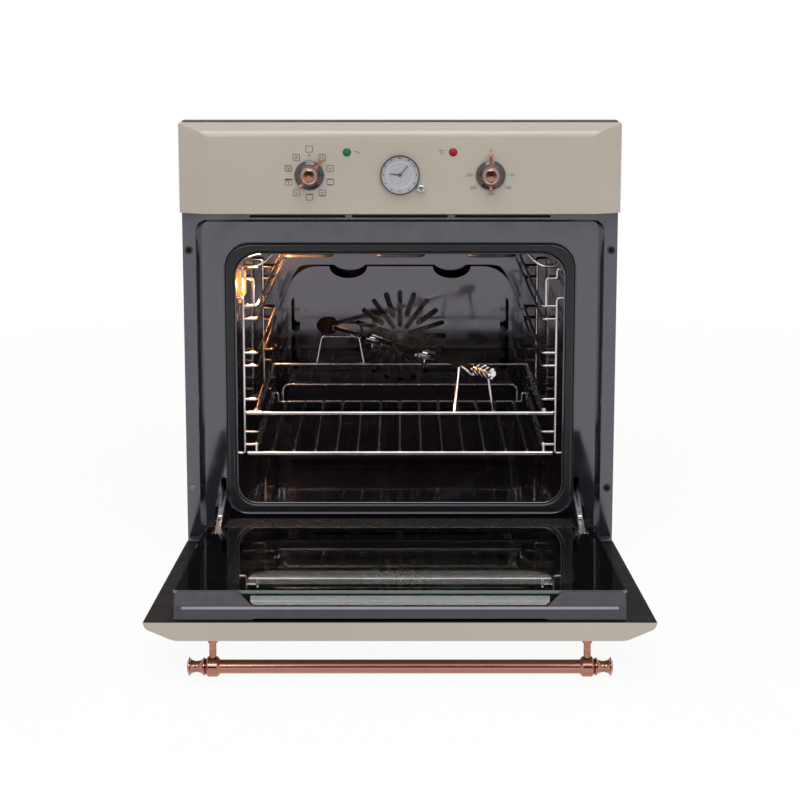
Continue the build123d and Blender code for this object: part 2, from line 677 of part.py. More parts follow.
with BuildPart() as top_cover:
    with BuildSketch(Plane.XY.offset(CASING_H - CASING_SHEET)):
        with Locations((0, CASING_D / 2)):
            Rectangle(CASING_W, CASING_D)
        with Locations((0, CASING_D * 0.62)):
            with GridLocations(46, 16, 9, 4, align=(Align.CENTER, Align.CENTER)):
                SlotOverall(30, 5, mode=Mode.SUBTRACT)
    extrude(amount=CASING_SHEET)
save(top_cover, "top_cover")

with BuildPart() as rear_panel:
    with BuildSketch(across(CASING_D)):
        with Locations((0, CASING_H / 2)):
            Rectangle(CASING_W, CASING_H)
        with Locations((0, FAN_Z)):
            with GridLocations(0, 9, 1, 9):
                SlotOverall(90, 4, mode=Mode.SUBTRACT)
        with Locations((-TERMINAL_X * 0.6, TERMINAL_Z)):
            with GridLocations(26, 14, 6, 4):
                SlotOverall(18, 5, mode=Mode.SUBTRACT)
    extrude(amount=-CASING_SHEET)
save(rear_panel, "rear_panel")

# Mains terminal box on the rear panel, with its empty cable gland
with BuildPart() as terminal_box:
    with BuildSketch(across(CASING_D + CASING_SHEET)):
        with Locations((TERMINAL_X, TERMINAL_Z)):
            RectangleRounded(TERMINAL_W, TERMINAL_H, 5)
    extrude(amount=-TERMINAL_D)
    fillet(terminal_box.faces().sort_by(Axis.Y)[-1].edges(), 2)
    with BuildSketch(across(CASING_D + CASING_SHEET + 2)):
        with Locations((TERMINAL_X, TERMINAL_Z)):
            RectangleRounded(TERMINAL_W - 5, TERMINAL_H - 5, 3)
    extrude(amount=-(TERMINAL_D - 4.5), mode=Mode.SUBTRACT)
    gland_y = CASING_D + CASING_SHEET + TERMINAL_D / 2
    gland_plane = Plane.XY.offset(TERMINAL_Z - TERMINAL_H / 2 - GLAND_L)
    with BuildSketch(gland_plane):
        with Locations((TERMINAL_X, gland_y)):
            Circle(GLAND_R)
    extrude(amount=GLAND_L + 2)
    with BuildSketch(gland_plane):
        with Locations((TERMINAL_X, gland_y)):
            Circle(GLAND_R - 4)
    extrude(amount=GLAND_L + 6, mode=Mode.SUBTRACT)
save(terminal_box, "terminal_box")

# Cover plate of the fan chamber, with its fan of slots
with BuildPart() as fan_cover:
    with BuildSketch(across(COVER_Y + COVER_SHEET)):
        add(arch(COVER_W / 2, COVER_FLOOR, COVER_TOP, COVER_LOW_R, COVER_R))
        for side, start, turn in ((-1, 178, -108), (1, 2, 108)):
            with Locations((side * NOTCH_X, COVER_TOP)):
                Ellipse(NOTCH_R, NOTCH_DEPTH, mode=Mode.SUBTRACT)
            with Locations((side * SIDE_SLOT_X, SIDE_SLOT_Z),
                           (side * SIDE_SLOT_X, SIDE_SLOT_Z - SIDE_SLOT_PITCH)):
                SlotOverall(SIDE_SLOT_L, SIDE_SLOT_W, rotation=90, mode=Mode.SUBTRACT)
            with Locations((side * 37, COVER_FLOOR + 6), (side * 110, COVER_FLOOR + 6)):
                SlotOverall(LOW_SLOT_L, LOW_SLOT_W, mode=Mode.SUBTRACT)
            curve = CenterArc((side * CORNER_ARC_X, CORNER_ARC_Z), CORNER_ARC_R, start, turn,
                              mode=Mode.PRIVATE)
            SlotArc(curve, CORNER_SLOT_W, mode=Mode.SUBTRACT)
        with Locations((0, FAN_Z)):
            Circle(HUB_HOLE_R, mode=Mode.SUBTRACT)
            for number in range(SLOT_COUNT):
                inner, width = (SLOT_SHORT_R, SLOT_SHORT_W) if number % 2 else (SLOT_LONG_R, SLOT_LONG_W)
                with PolarLocations((inner + SLOT_OUT_R) / 2, 1, start_angle=90 + number * 360 / SLOT_COUNT):
                    SlotOverall(SLOT_OUT_R - inner, width, mode=Mode.SUBTRACT)
    extrude(amount=COVER_SHEET)
    add(socket_bore, mode=Mode.SUBTRACT)
    with BuildSketch(across(COVER_Y)):
        for side in (-1, 1):
            with Locations((side * COVER_SCREW_X, COVER_SCREW_LOW_Z),
                           (side * COVER_SCREW_X, COVER_SCREW_HIGH_Z)):
                Circle(SCREW_NECK_R)
    extrude(amount=-COVER_SHEET, mode=Mode.SUBTRACT)
save(fan_cover, "fan_cover")

# Shouldered screws that hold the cover plate off the chamber's rear wall
with BuildPart() as cover_screws:
    for side in (-1, 1):
        for height in (COVER_SCREW_LOW_Z, COVER_SCREW_HIGH_Z):
            with BuildSketch(across(CHAMBER_BACK_Y)):
                with Locations((side * COVER_SCREW_X, height)):
                    Circle(SCREW_STUD_R)
            extrude(amount=CHAMBER_BACK_Y - COVER_Y - COVER_SHEET)
            with BuildSketch(across(COVER_Y + COVER_SHEET)):
                with Locations((side * COVER_SCREW_X, height)):
                    Circle(SCREW_NECK_R)
            extrude(amount=COVER_SHEET)
            with BuildSketch(across(COVER_Y)):
                with Locations((side * COVER_SCREW_X, height)):
                    Circle(SCREW_STUD_R)
            extrude(amount=SCREW_HEAD_L)
            with BuildSketch(across(COVER_Y - SCREW_HEAD_L)):
                with Locations((side * COVER_SCREW_X, height)):
                    Rectangle(5, 1.1)
                    Rectangle(1.1, 5)
            extrude(amount=-SCREW_HEAD_L / 2, mode=Mode.SUBTRACT)
save(cover_screws, "cover_screws")

# Convection fan, its motor, and the ring element round it
fan_front_y = COVER_Y + COVER_SHEET + FAN_COVER_GAP
with BuildPart() as convection_fan:
    with BuildSketch(across(fan_front_y + FAN_W)):
        with Locations((0, FAN_Z)):
            Circle(FAN_R)
    extrude(amount=1)
    with BuildSketch(across(fan_front_y + FAN_W - 1)):
        with Locations((0, FAN_Z)):
            with PolarLocations(FAN_R * 0.68, FAN_BLADES):
                Rectangle(FAN_R * 0.56, 1.4, rotation=28)
    extrude(amount=FAN_W - 1)
    with BuildSketch(across(fan_front_y + FAN_W)):
        with Locations((0, FAN_Z)):
            Circle(FAN_HUB_R)
    extrude(amount=FAN_W + 1.5)
    shaft_end_y = CHAMBER_BACK_Y + 26
    with BuildSketch(across(shaft_end_y)):
        with Locations((0, FAN_Z)):
            Circle(FAN_SHAFT_R)
    extrude(amount=shaft_end_y - fan_front_y - FAN_W)
save(convection_fan, "convection_fan")

motor_y = CHAMBER_BACK_Y + 14
with BuildPart() as fan_motor:
    with BuildSketch(across(motor_y)):
        with Locations((0, FAN_Z)):
            Circle(MOTOR_R)
    extrude(amount=-MOTOR_L)
    with BuildSketch(across(motor_y)):
        with Locations((0, FAN_Z)):
            Rectangle(MOTOR_R * 4, 22)
    extrude(amount=-2)
    with BuildSketch(across(motor_y)):
        with Locations((0, FAN_Z)):
            Circle(FAN_SHAFT_R + BORE_GAP)
    extrude(amount=-14, mode=Mode.SUBTRACT)
    with BuildSketch(across(motor_y + 2)):
        with Locations((-MOTOR_R * 1.85, FAN_Z), (MOTOR_R * 1.85, FAN_Z)):
            Circle(4)
    extrude(amount=motor_y + 2 - CHAMBER_BACK_Y - CAVITY_SHEET)
save(fan_motor, "fan_motor")

with BuildPart() as ring_element:
    with BuildLine():
        ring = CenterArc((0, 0), RING_ELEMENT_R, 110, 320)
        ring_path = Plane(origin=(0, COVER_Y + 26, FAN_Z), x_dir=(1, 0, 0), z_dir=(0, -1, 0)) * ring
    with BuildSketch(Plane(origin=ring_path @ 0, z_dir=ring_path % 0)):
        Circle(ELEMENT_R)
    sweep(path=ring_path)
    for end in (ring_path @ 0, ring_path @ 1):
        add(rod(end, (end.X, CHAMBER_BACK_Y, end.Z), ELEMENT_R))
save(ring_element, "ring_element")

# Upper element: loops of heater rod under the cavity's roof, with two tabs welded on to hang it
loop_xs = [(-1 + 2 * step / (2 * GRILL_LOOPS - 1)) * GRILL_W / 2 for step in range(2 * GRILL_LOOPS)]
rear_turn_y = CAVITY_D - 28
grill_points = [(-GRILL_W / 2 / GRILL_LOOPS, CAVITY_D, GRILL_Z),
                (-GRILL_W / 2 / GRILL_LOOPS, rear_turn_y, GRILL_Z)]
grill_points += [(loop_xs[0], rear_turn_y, GRILL_Z)]
for number, place in enumerate(loop_xs):
    front, back = GRILL_FRONT_Y, rear_turn_y - 36
    ends = (back, front) if number % 2 == 0 else (front, back)
    if number == 0:
        ends = (front,)
    if number == len(loop_xs) - 1:
        ends = (front,)
    grill_points += [(place, y, GRILL_Z) for y in ends]
grill_points += [(loop_xs[-1], rear_turn_y, GRILL_Z), (GRILL_W / 2 / GRILL_LOOPS, rear_turn_y, GRILL_Z),
                 (GRILL_W / 2 / GRILL_LOOPS, CAVITY_D, GRILL_Z)]
grill_rod = bent_wire(grill_points, 2 * ELEMENT_R, 12)
with BuildPart() as grill_element:
    add(grill_rod)
    for side in (-1, 1):
        place = side * GRILL_W / 2
        add(block(place - 6, place + 6, GRILL_CLIP_Y, GRILL_CLIP_Y + 2, GRILL_Z, CAVITY_TOP))
save(grill_element, "grill_element")

# Lower element, in a pocket of the insulation under the cavity's floor
low_z = CAVITY_FLOOR - LOW_ELEMENT_GAP
low_points = [(-GRILL_W / 2, CHAMBER_BACK_Y, low_z), (-GRILL_W / 2, 70, low_z), (-GRILL_W / 6, 70, low_z),
              (-GRILL_W / 6, 350, low_z), (GRILL_W / 6, 350, low_z), (GRILL_W / 6, 70, low_z),
              (GRILL_W / 2, 70, low_z), (GRILL_W / 2, CHAMBER_BACK_Y, low_z)]
with BuildPart() as bottom_element:
    add(bent_wire(low_points, 2 * ELEMENT_R, 24))
save(bottom_element, "bottom_element")

# Oven lamp: housing outside the left wall, glass lens inside it, bulb between
lamp_y0, lamp_y1 = OVEN_LAMP_Y - OVEN_LAMP_W / 2, OVEN_LAMP_Y + OVEN_LAMP_W / 2
wall_x = -CAVITY_W / 2
with BuildPart() as lamp_housing:
    add(block(wall_x - LAMP_BOX_D, wall_x - CAVITY_SHEET, lamp_y0, lamp_y1, lamp_low_z,
              lamp_low_z + OVEN_LAMP_H))
    add(block(wall_x - LAMP_BOX_D + 2, wall_x - CAVITY_SHEET + 1, lamp_y0 + 2, lamp_y1 - 2, lamp_low_z + 2,
              lamp_low_z + OVEN_LAMP_H - 2), mode=Mode.SUBTRACT)
save(lamp_housing, "lamp_housing")

with BuildPart() as lamp_lens:
    with BuildSketch(side_on(wall_x)):
        with Locations((OVEN_LAMP_Y, OVEN_LAMP_Z)):
            RectangleRounded(OVEN_LAMP_W - 1, OVEN_LAMP_H - 1, 8)
    extrude(amount=5)
    fillet(lamp_lens.faces().sort_by(Axis.X)[-1].edges(), 3)
    with BuildSketch(side_on(wall_x)):
        with Locations((OVEN_LAMP_Y, OVEN_LAMP_Z)):
            RectangleRounded(OVEN_LAMP_W + 8, OVEN_LAMP_H + 8, 10)
    extrude(amount=1.5)
save(lamp_lens, "lamp_lens")

with BuildPart() as lamp_bulb:
    with BuildSketch(side_on(0)):
        with BuildLine():
            Polyline((lamp_y0 + 3, OVEN_LAMP_Z), (lamp_y0 + 3, OVEN_LAMP_Z + 7),
                     (lamp_y0 + 20, OVEN_LAMP_Z + 7))
            Spline((lamp_y0 + 20, OVEN_LAMP_Z + 7), (lamp_y0 + 34, OVEN_LAMP_Z + 9),
                   (lamp_y0 + 46, OVEN_LAMP_Z),
                   tangents=((1, 0.2), (0, -1)))
            Line((lamp_y0 + 46, OVEN_LAMP_Z), (lamp_y0 + 3, OVEN_LAMP_Z))
        make_face()
    revolve(axis=Axis((0, 0, OVEN_LAMP_Z), (0, 1, 0)))
lamp_bulb.part = Pos(wall_x - LAMP_BOX_D / 2 + 0.5, 0, 0) * lamp_bulb.part
save(lamp_bulb, "lamp_bulb")

# Cooling blower on the insulation, and the duct that leads its air to the vents
duct_low_z = CAVITY_TOP + BLANKET + 1
duct_top_z = duct_low_z + DUCT_H
blower_z = duct_top_z + BLOWER_R + 8
with BuildPart() as air_duct:
    add(block(-DUCT_W / 2, DUCT_W / 2, 1, BLOWER_Y + 30, duct_low_z, duct_top_z))
    add(block(-DUCT_W / 2 + DUCT_SHEET, DUCT_W / 2 - DUCT_SHEET, 0, BLOWER_Y + 30 - DUCT_SHEET,
              duct_low_z + DUCT_SHEET, duct_top_z - DUCT_SHEET), mode=Mode.SUBTRACT)
    add(block(-BLOWER_L / 2, BLOWER_L / 2, BLOWER_Y - 24, BLOWER_Y, duct_top_z - 2, duct_top_z + 1),
        mode=Mode.SUBTRACT)
    add(block(-DUCT_W / 2 - 6, DUCT_W / 2 + 6, 0, CHANNEL_BACK_Y + 1, 0, RECESS_TOP + 1), mode=Mode.SUBTRACT)
save(air_duct, "air_duct")

housing_h = CASING_H - CASING_SHEET - duct_top_z - 6
with BuildPart() as blower_housing:
    with BuildSketch(side_on(-BLOWER_L / 2 - 6)):
        with Locations((BLOWER_Y, duct_top_z + housing_h / 2)):
            RectangleRounded(2 * BLOWER_R + 24, housing_h, 14)
        with Locations((BLOWER_Y, duct_top_z + 8)):
            Rectangle(2 * BLOWER_R + 24, 16)
    extrude(amount=BLOWER_L + 12)
    with BuildSketch(side_on(-BLOWER_L / 2)):
        with Locations((BLOWER_Y, blower_z)):
            Circle(BLOWER_R + 3)
        with Locations((BLOWER_Y - 12, duct_top_z + 10)):
            Rectangle(24, 30)
    extrude(amount=BLOWER_L, mode=Mode.SUBTRACT)
    add(rod((-BLOWER_L, BLOWER_Y, blower_z), (BLOWER_L, BLOWER_Y, blower_z), FAN_SHAFT_R + BORE_GAP),
        mode=Mode.SUBTRACT)
save(blower_housing, "blower_housing")

with BuildPart() as blower_rotor:
    for place in (-1, 0, 1):
        with BuildSketch(side_on(place * (BLOWER_L / 2 - 3) - 0.6)):
            with Locations((BLOWER_Y, blower_z)):
                Circle(BLOWER_R)
        extrude(amount=1.2)
    with BuildSketch(side_on(-BLOWER_L / 2 + 3)):
        with Locations((BLOWER_Y, blower_z)):
            with PolarLocations(BLOWER_R - 4, BLOWER_BLADES):
                Rectangle(7, 1, rotation=35)
    extrude(amount=BLOWER_L - 6)
    add(rod((-BLOWER_L / 2 - 5, BLOWER_Y, blower_z), (BLOWER_L / 2 + 5, BLOWER_Y, blower_z), FAN_SHAFT_R))
save(blower_rotor, "blower_rotor")

# Side racks: welded wire, four pairs of rails on each side, standing off the wall
racks = []
for side in (-1, 1):
    post = side * RACK_POST_X
    rail = side * RACK_RAIL_X
    wall = side * CAVITY_W / 2
    wires = []
    for depth in (RACK_FRONT_Y, RACK_REAR_Y):
        wires.append(bent_wire([(wall, depth, RACK_LOW_Z), (post, depth, RACK_LOW_Z),
                                (post, depth, RACK_HIGH_Z), (wall, depth, RACK_HIGH_Z)], WIRE, 4))
    for rail_top in (RAIL_FIRST_Z, RAIL_SECOND_Z, RAIL_THIRD_Z, RAIL_TOP_Z):
        for height in (rail_top, rail_top - RAIL_GAP):
            wires.append(bent_wire([(post, RACK_FRONT_Y, height), (rail, RACK_FRONT_Y, height),
                                    (rail, RACK_REAR_Y, height), (post, RACK_REAR_Y, height)],
                                   WIRE, RAIL_BEND))
    rise = HANGER_TOP_Z + WIRE / 2 - (CAVITY_TOP - CAVITY_TOP_R)
    curved_wall = side * (CAVITY_W / 2 - CAVITY_TOP_R + (CAVITY_TOP_R ** 2 - rise ** 2) ** 0.5)
    hanger = side * HANGER_X
    wires.append(bent_wire([(hanger, RACK_FRONT_Y, RAIL_TOP_Z), (hanger, RACK_FRONT_Y, HANGER_Z),
                            (post, RACK_FRONT_Y, HANGER_Z), (post, RACK_FRONT_Y, HANGER_TOP_Z),
                            (curved_wall, RACK_FRONT_Y, HANGER_TOP_Z)], WIRE, 3))
    with BuildPart() as rack:
        add(wires)
    racks.append(rack.part)
with BuildPart() as side_racks:
    add(racks)
save(side_racks, "side_racks")

# Wire shelf
runner_z = RAIL_FIRST_Z - RAIL_GAP + WIRE + MOVING_GAP
grid_z = SHELF_BAR_Z + SHELF_BAR / 2 + SHELF_GRID_WIRE / 2 - WELD
rear_bar_z = grid_z - SHELF_GRID_WIRE / 2 - WIRE / 2 + WELD
rim_y = SHELF_REAR_Y + WIRE * WELD
shelf_wires = [
    rod((-SHELF_BAR_HALF, SHELF_FRONT_Y, SHELF_BAR_Z), (SHELF_BAR_HALF, SHELF_FRONT_Y, SHELF_BAR_Z),
        SHELF_BAR / 2),
    rod((-SHELF_LINK_X, SHELF_REAR_Y, rear_bar_z), (SHELF_LINK_X, SHELF_REAR_Y, rear_bar_z), WIRE / 2),
    bent_wire([(-SHELF_RIM_X, rim_y, rear_bar_z - 1), (-SHELF_RIM_X, rim_y, SHELF_RIM_Z),
               (SHELF_RIM_X, rim_y, SHELF_RIM_Z), (SHELF_RIM_X, rim_y, rear_bar_z - 1)],
              WIRE, SHELF_RIM_R),
]
for side in (-1, 1):
    runner = side * SHELF_RUNNER_X
    link = side * SHELF_LINK_X
    shelf_wires.append(bent_wire(
        [(runner, SHELF_FRONT_Y, SHELF_BAR_Z), (runner, SHELF_FRONT_Y, runner_z),
         (runner, SHELF_REAR_Y, runner_z), (link, SHELF_REAR_Y, runner_z), (link, SHELF_REAR_Y, rear_bar_z)],
        WIRE, 3))
for number in range(SHELF_GRID_COUNT):
    place = (number - (SHELF_GRID_COUNT - 1) / 2) * SHELF_GRID_PITCH
    shelf_wires.append(rod((place, SHELF_FRONT_Y - 1, grid_z), (place, SHELF_REAR_Y + 3, grid_z),
                           SHELF_GRID_WIRE / 2))
with BuildPart() as wire_shelf:
    add(shelf_wires)
save(wire_shelf, "wire_shelf")

# Spit frame: a wire frame on the second rails, with a cradle at each end of the spit
frame_z = RAIL_SECOND_Z - RAIL_GAP + WIRE / 2 + FRAME_BAR / 2 + MOVING_GAP
front_bar_z = frame_z - FRAME_BAR + 3 * WELD
spit_slope = tan(radians(SPIT_TURN))
cradle_x = SOCKET_X + (SOCKET_Y - CRADLE_Y) * spit_slope
rear_rest_x = SOCKET_X + (SOCKET_Y - FRAME_REAR_Y) * spit_slope
rest_z = SPIT_Z - SPIT_R - WIRE / 2 - MOVING_GAP
spit_frame_wires = [
    rod((runner, FRAME_FRONT_Y - 1, frame_z), (runner, FRAME_REAR_Y + 2, frame_z), FRAME_BAR / 2)
    for runner in (SHELF_RUNNER_X, -SHELF_RUNNER_X)
]
spit_frame_wires += [
    bent_wire([(rear_rest_x - 54, FRAME_REAR_Y, frame_z), (rear_rest_x - 46, FRAME_REAR_Y, rest_z),
               (rear_rest_x + 12, FRAME_REAR_Y, rest_z), (rear_rest_x + 20, FRAME_REAR_Y, frame_z)],
              WIRE, 5),
    bent_wire([(cradle_x - CRADLE_FOOT, FRAME_FRONT_Y, front_bar_z),
               (cradle_x - CRADLE_HALF, CRADLE_Y, CRADLE_TIP_Z), (cradle_x, CRADLE_Y, CRADLE_DIP_Z),
               (cradle_x + CRADLE_HALF, CRADLE_Y, CRADLE_TIP_Z + 2),
               (cradle_x + CRADLE_FOOT, CRADLE_Y, frame_z),
               (cradle_x + CRADLE_FOOT, FRAME_FRONT_Y, frame_z - 1)],
              WIRE, 3.5),
    rod((-SHELF_RUNNER_X, FRAME_REAR_Y, frame_z), (SHELF_RUNNER_X, FRAME_REAR_Y, frame_z), FRAME_BAR / 2),
    rod((-SHELF_BAR_HALF, FRAME_FRONT_Y, front_bar_z), (SHELF_BAR_HALF, FRAME_FRONT_Y, front_bar_z),
        FRAME_BAR / 2),
]
with BuildPart() as spit_frame:
    add(spit_frame_wires)
save(spit_frame, "spit_frame")

# Spit: a round rod with a square tip, and its turned handle of beads
tip_l = SPIT_R / tan(radians(SPIT_TIP_ANGLE))
with BuildPart() as spit_rod:
    with BuildSketch(spit_plane(tip_l + SPIT_TIP_L)):
        Circle(SPIT_R)
    extrude(amount=SPIT_L - tip_l - SPIT_TIP_L)
    with BuildSketch(spit_plane(tip_l)):
        Rectangle(2 * SPIT_R, 2 * SPIT_R)
    extrude(amount=SPIT_TIP_L)
    with BuildSketch(spit_plane(tip_l)):
        Rectangle(2 * SPIT_R, 2 * SPIT_R)
    extrude(amount=-tip_l + 0.4, taper=SPIT_TIP_ANGLE)
save(spit_rod, "spit_rod")

handle_start = SPIT_L
with BuildPart() as spit_handle:
    with BuildSketch(Plane(origin=SPIT_START + SPIT_DIR * handle_start, x_dir=SPIT_DIR, z_dir=(0, 0, 1))):
        with BuildLine():
            beads = [(0, 0), (0, SPIT_R)]
            for number in range(HANDLE_BEADS):
                start = 1.0 + number * BEAD_L
                beads += [(start, SPIT_R), (start + 1.5, BEAD_R - 0.8), (start + BEAD_L / 2 - 1, BEAD_R)]
                beads += [(start + BEAD_L - 2.5, BEAD_R - 0.8), (start + BEAD_L - 1, SPIT_R)]
            end = 1.0 + HANDLE_BEADS * BEAD_L
            Polyline(*beads, (end, SPIT_R), (end, 0), close=True)
        make_face()
    revolve(axis=Axis(SPIT_START, SPIT_DIR))
save(spit_handle, "spit_handle")

# Two forks that hold the roast, each with its collar and thumbscrew
with BuildPart() as spit_forks:
    for place, heading in zip(FORK_PLACES, (1, -1)):
        with BuildSketch(spit_plane(place - FORK_COLLAR_L / 2)):
            Circle(FORK_COLLAR_R)
            Rectangle(6, 2 * TINE_OUT)
            Circle(SPIT_R, mode=Mode.SUBTRACT)
        extrude(amount=FORK_COLLAR_L)
        for side in (-1, 1):
            with BuildSketch(spit_plane(place)):
                with Locations((0, side * TINE_OUT)):
                    Circle(TINE_R)
            extrude(amount=heading * TINE_L)
        centre = SPIT_START + SPIT_DIR * place
        stem = Vector(0, 0, FORK_COLLAR_R - 1)
        add(rod(centre - stem, centre - stem - Vector(0, 0, SCREW_STEM_L), 1.6))
        with BuildSketch(Plane(origin=centre - stem - Vector(0, 0, SCREW_STEM_L + SCREW_RING_R - 2),
                               x_dir=SPIT_DIR, z_dir=SPIT_DIR.cross(Vector(0, 0, 1)))):
            Circle(SCREW_RING_R)
            Circle(SCREW_RING_R - 2.4, mode=Mode.SUBTRACT)
        extrude(amount=1, both=True)
save(spit_forks, "spit_forks")

# Drive socket behind the spit's tip, and its gear motor outside the cavity
with BuildPart() as spit_socket:
    with BuildSketch(spit_plane(4)):
        Circle(SOCKET_R)
    extrude(amount=-SOCKET_L)
    with BuildSketch(spit_plane(4 - SOCKET_L)):
        Circle(SOCKET_SHAFT_R)
    extrude(amount=-(SOCKET_SHAFT_L - SOCKET_L))
    seat = SPIT_R + MOVING_GAP / cos(radians(SPIT_TIP_ANGLE)) + (4 - tip_l) * tan(radians(SPIT_TIP_ANGLE))
    with BuildSketch(spit_plane(4)):
        Rectangle(2 * seat, 2 * seat)
    extrude(amount=-seat / tan(radians(SPIT_TIP_ANGLE)) + 0.4, taper=SPIT_TIP_ANGLE, mode=Mode.SUBTRACT)
save(spit_socket, "spit_socket")

gear_back = BLANKET_BACK_Y + SPIT_MOTOR_R * sin(radians(SPIT_TURN)) + 2
gear_place = -(gear_back - SOCKET_Y) / cos(radians(SPIT_TURN))
with BuildPart() as spit_motor:
    with BuildSketch(spit_plane(gear_place)):
        Circle(SPIT_MOTOR_R)
    extrude(amount=-26)
    with BuildSketch(spit_plane(gear_place - 26)):
        Circle(SPIT_MOTOR_R - 7)
    extrude(amount=-14)
    with BuildSketch(spit_plane(gear_place)):
        Circle(SPIT_NOSE_R)
    extrude(amount=30)
    add(block(-CASING_W, CASING_W, 0, CHAMBER_BACK_Y + CAVITY_SHEET, 0, FRONT_H), mode=Mode.SUBTRACT)
    with BuildSketch(spit_plane(gear_place + 30)):
        Circle(SOCKET_SHAFT_R + BORE_GAP)
    extrude(amount=-(SOCKET_SHAFT_L + gear_place + 31), mode=Mode.SUBTRACT)
save(spit_motor, "spit_motor")

# Control panel: pressed face, and the black bracket behind it that carries the switches
panel_top_plane = Plane(origin=(0, RIM_Y, PANEL_LOW), x_dir=(1, 0, 0), z_dir=(0, 0, -1))
panel_side_plane = Plane(origin=(0, RIM_Y, 0), x_dir=(0, 0, 1), z_dir=(1, 0, 0))


def panel_block(inset):
    """Solid under the panel's pressed face, with its upper corners rounded."""
    with BuildPart(mode=Mode.PRIVATE) as outline:
        with BuildSketch(across(RIM_Y)):
            add(arch(FRONT_W / 2 - inset, PANEL_LOW - 1, PANEL_TOP - inset, 0, PANEL_CORNER_R - inset))
        extrude(amount=SKIN_D + 1)
    pressed = pressed_block(panel_top_plane, panel_side_plane, FRONT_W / 2, PANEL_LOW, PANEL_TOP,
                            0, PANEL_BEVEL, inset)
    return pressed & outline.part


def control_places():
    """Places of the two knobs on the panel, left and right."""
    return [(-KNOB_X, KNOB_Z), (KNOB_X, KNOB_Z)]


panel_outside = panel_block(0)
panel_hollow = panel_block(SHEET)
with BuildPart() as control_panel:
    add(panel_outside)
    with BuildSketch(across(RIM_Y + 1)):
        with Locations((0, (PANEL_LOW + PANEL_TOP) / 2)):
            Rectangle(FRONT_W - 2 * SKIN_RETURN, PANEL_H - 2 * SKIN_RETURN)
    extrude(amount=1 + 2 * SHEET, mode=Mode.SUBTRACT)
    add(panel_hollow & block(-FRONT_W, FRONT_W, -FRONT_OUT, RIM_Y - SHEET, 0, FRONT_H), mode=Mode.SUBTRACT)
    with BuildSketch(across(RIM_Y)):
        with Locations(*control_places()):
            Circle(CONTROL_SHAFT_R + 1.5)
        with Locations((0, CLOCK_Z)):
            Circle(CLOCK_R)
        with Locations((CLOCK_KNOB_X, CLOCK_KNOB_Z)):
            Circle(3)
        with Locations((-LAMP_X, LAMP_Z), (LAMP_X, LAMP_Z)):
            Circle(LAMP_STEM_R + 0.1)
    extrude(amount=FRONT_OUT, mode=Mode.SUBTRACT)
save(control_panel, "control_panel")

bracket_half = FRONT_W / 2 - 5
bracket_low = PANEL_LOW + SHEET
with BuildPart() as panel_bracket:
    add(block(-bracket_half, bracket_half, RIM_Y, 0, bracket_low, FRONT_H))
    add(block(-bracket_half + SHEET, bracket_half - SHEET, RIM_Y + SHEET, -SHEET, bracket_low + SHEET,
              FRONT_H - SHEET), mode=Mode.SUBTRACT)
    add(block(-CASING_X + 40, CASING_X - 40, -5, 1, bracket_low + 12, CASING_H - 1.5),
        mode=Mode.SUBTRACT)
    with BuildSketch(across(RIM_Y + 2)):
        with Locations(*control_places()):
            Circle(CONTROL_SHAFT_R + 1)
        with Locations((0, CLOCK_Z)):
            Circle(CLOCK_R)
        with Locations((CLOCK_KNOB_X, CLOCK_KNOB_Z)):
            Circle(3)
        with Locations((-LAMP_X, LAMP_Z), (LAMP_X, LAMP_Z)):
            Circle(LAMP_STEM_R + 0.1)
    extrude(amount=4, mode=Mode.SUBTRACT)
save(panel_bracket, "panel_bracket")

lamp_root = -RIM_Y - SHEET - 8
dome_r = (LAMP_R ** 2 + LAMP_DOME ** 2) / (2 * LAMP_DOME)
dome_base = FRONT_OUT + LAMP_RIM
dome_centre = dome_base + LAMP_DOME - dome_r
dome_half = asin(LAMP_R / dome_r) / 2
with BuildPart() as indicator_lamps:
    for side in (-1, 1):
        with BuildSketch(Plane(origin=(side * LAMP_X, 0, LAMP_Z), x_dir=(0, -1, 0), z_dir=(1, 0, 0))):
            with BuildLine():
                Polyline((dome_base + LAMP_DOME, 0), (lamp_root, 0), (lamp_root, LAMP_STEM_R),
                         (FRONT_OUT, LAMP_STEM_R), (FRONT_OUT, LAMP_R), (dome_base, LAMP_R))
                ThreePointArc((dome_base, LAMP_R),
                              (dome_centre + dome_r * cos(dome_half), dome_r * sin(dome_half)),
                              (dome_base + LAMP_DOME, 0))
            make_face()
        revolve(axis=Axis((side * LAMP_X, 0, LAMP_Z), (0, 1, 0)))
save(indicator_lamps, "indicator_lamps")

# Rotary switch and thermostat behind the bracket's front wall, with a bore for each knob's shaft
switch_front_y = RIM_Y + SHEET
for (place, height), name in zip(control_places(), ("selector_switch", "thermostat")):
    with BuildPart() as switch:
        with BuildSketch(across(switch_front_y)):
            with Locations((place, height)):
                RectangleRounded(SWITCH_W, SWITCH_W, 4)
        extrude(amount=-SWITCH_D)
        with BuildSketch(across(switch_front_y)):
            with Locations((place, height)):
                Circle(CONTROL_SHAFT_R + BORE_GAP)
        extrude(amount=-14, mode=Mode.SUBTRACT)
        with BuildSketch(across(switch_front_y + SWITCH_D)):
            with Locations((place, height)):
                with GridLocations(9, 12, 4, 2):
                    Rectangle(0.8, 6)
        extrude(amount=-8)
    save(switch, name)

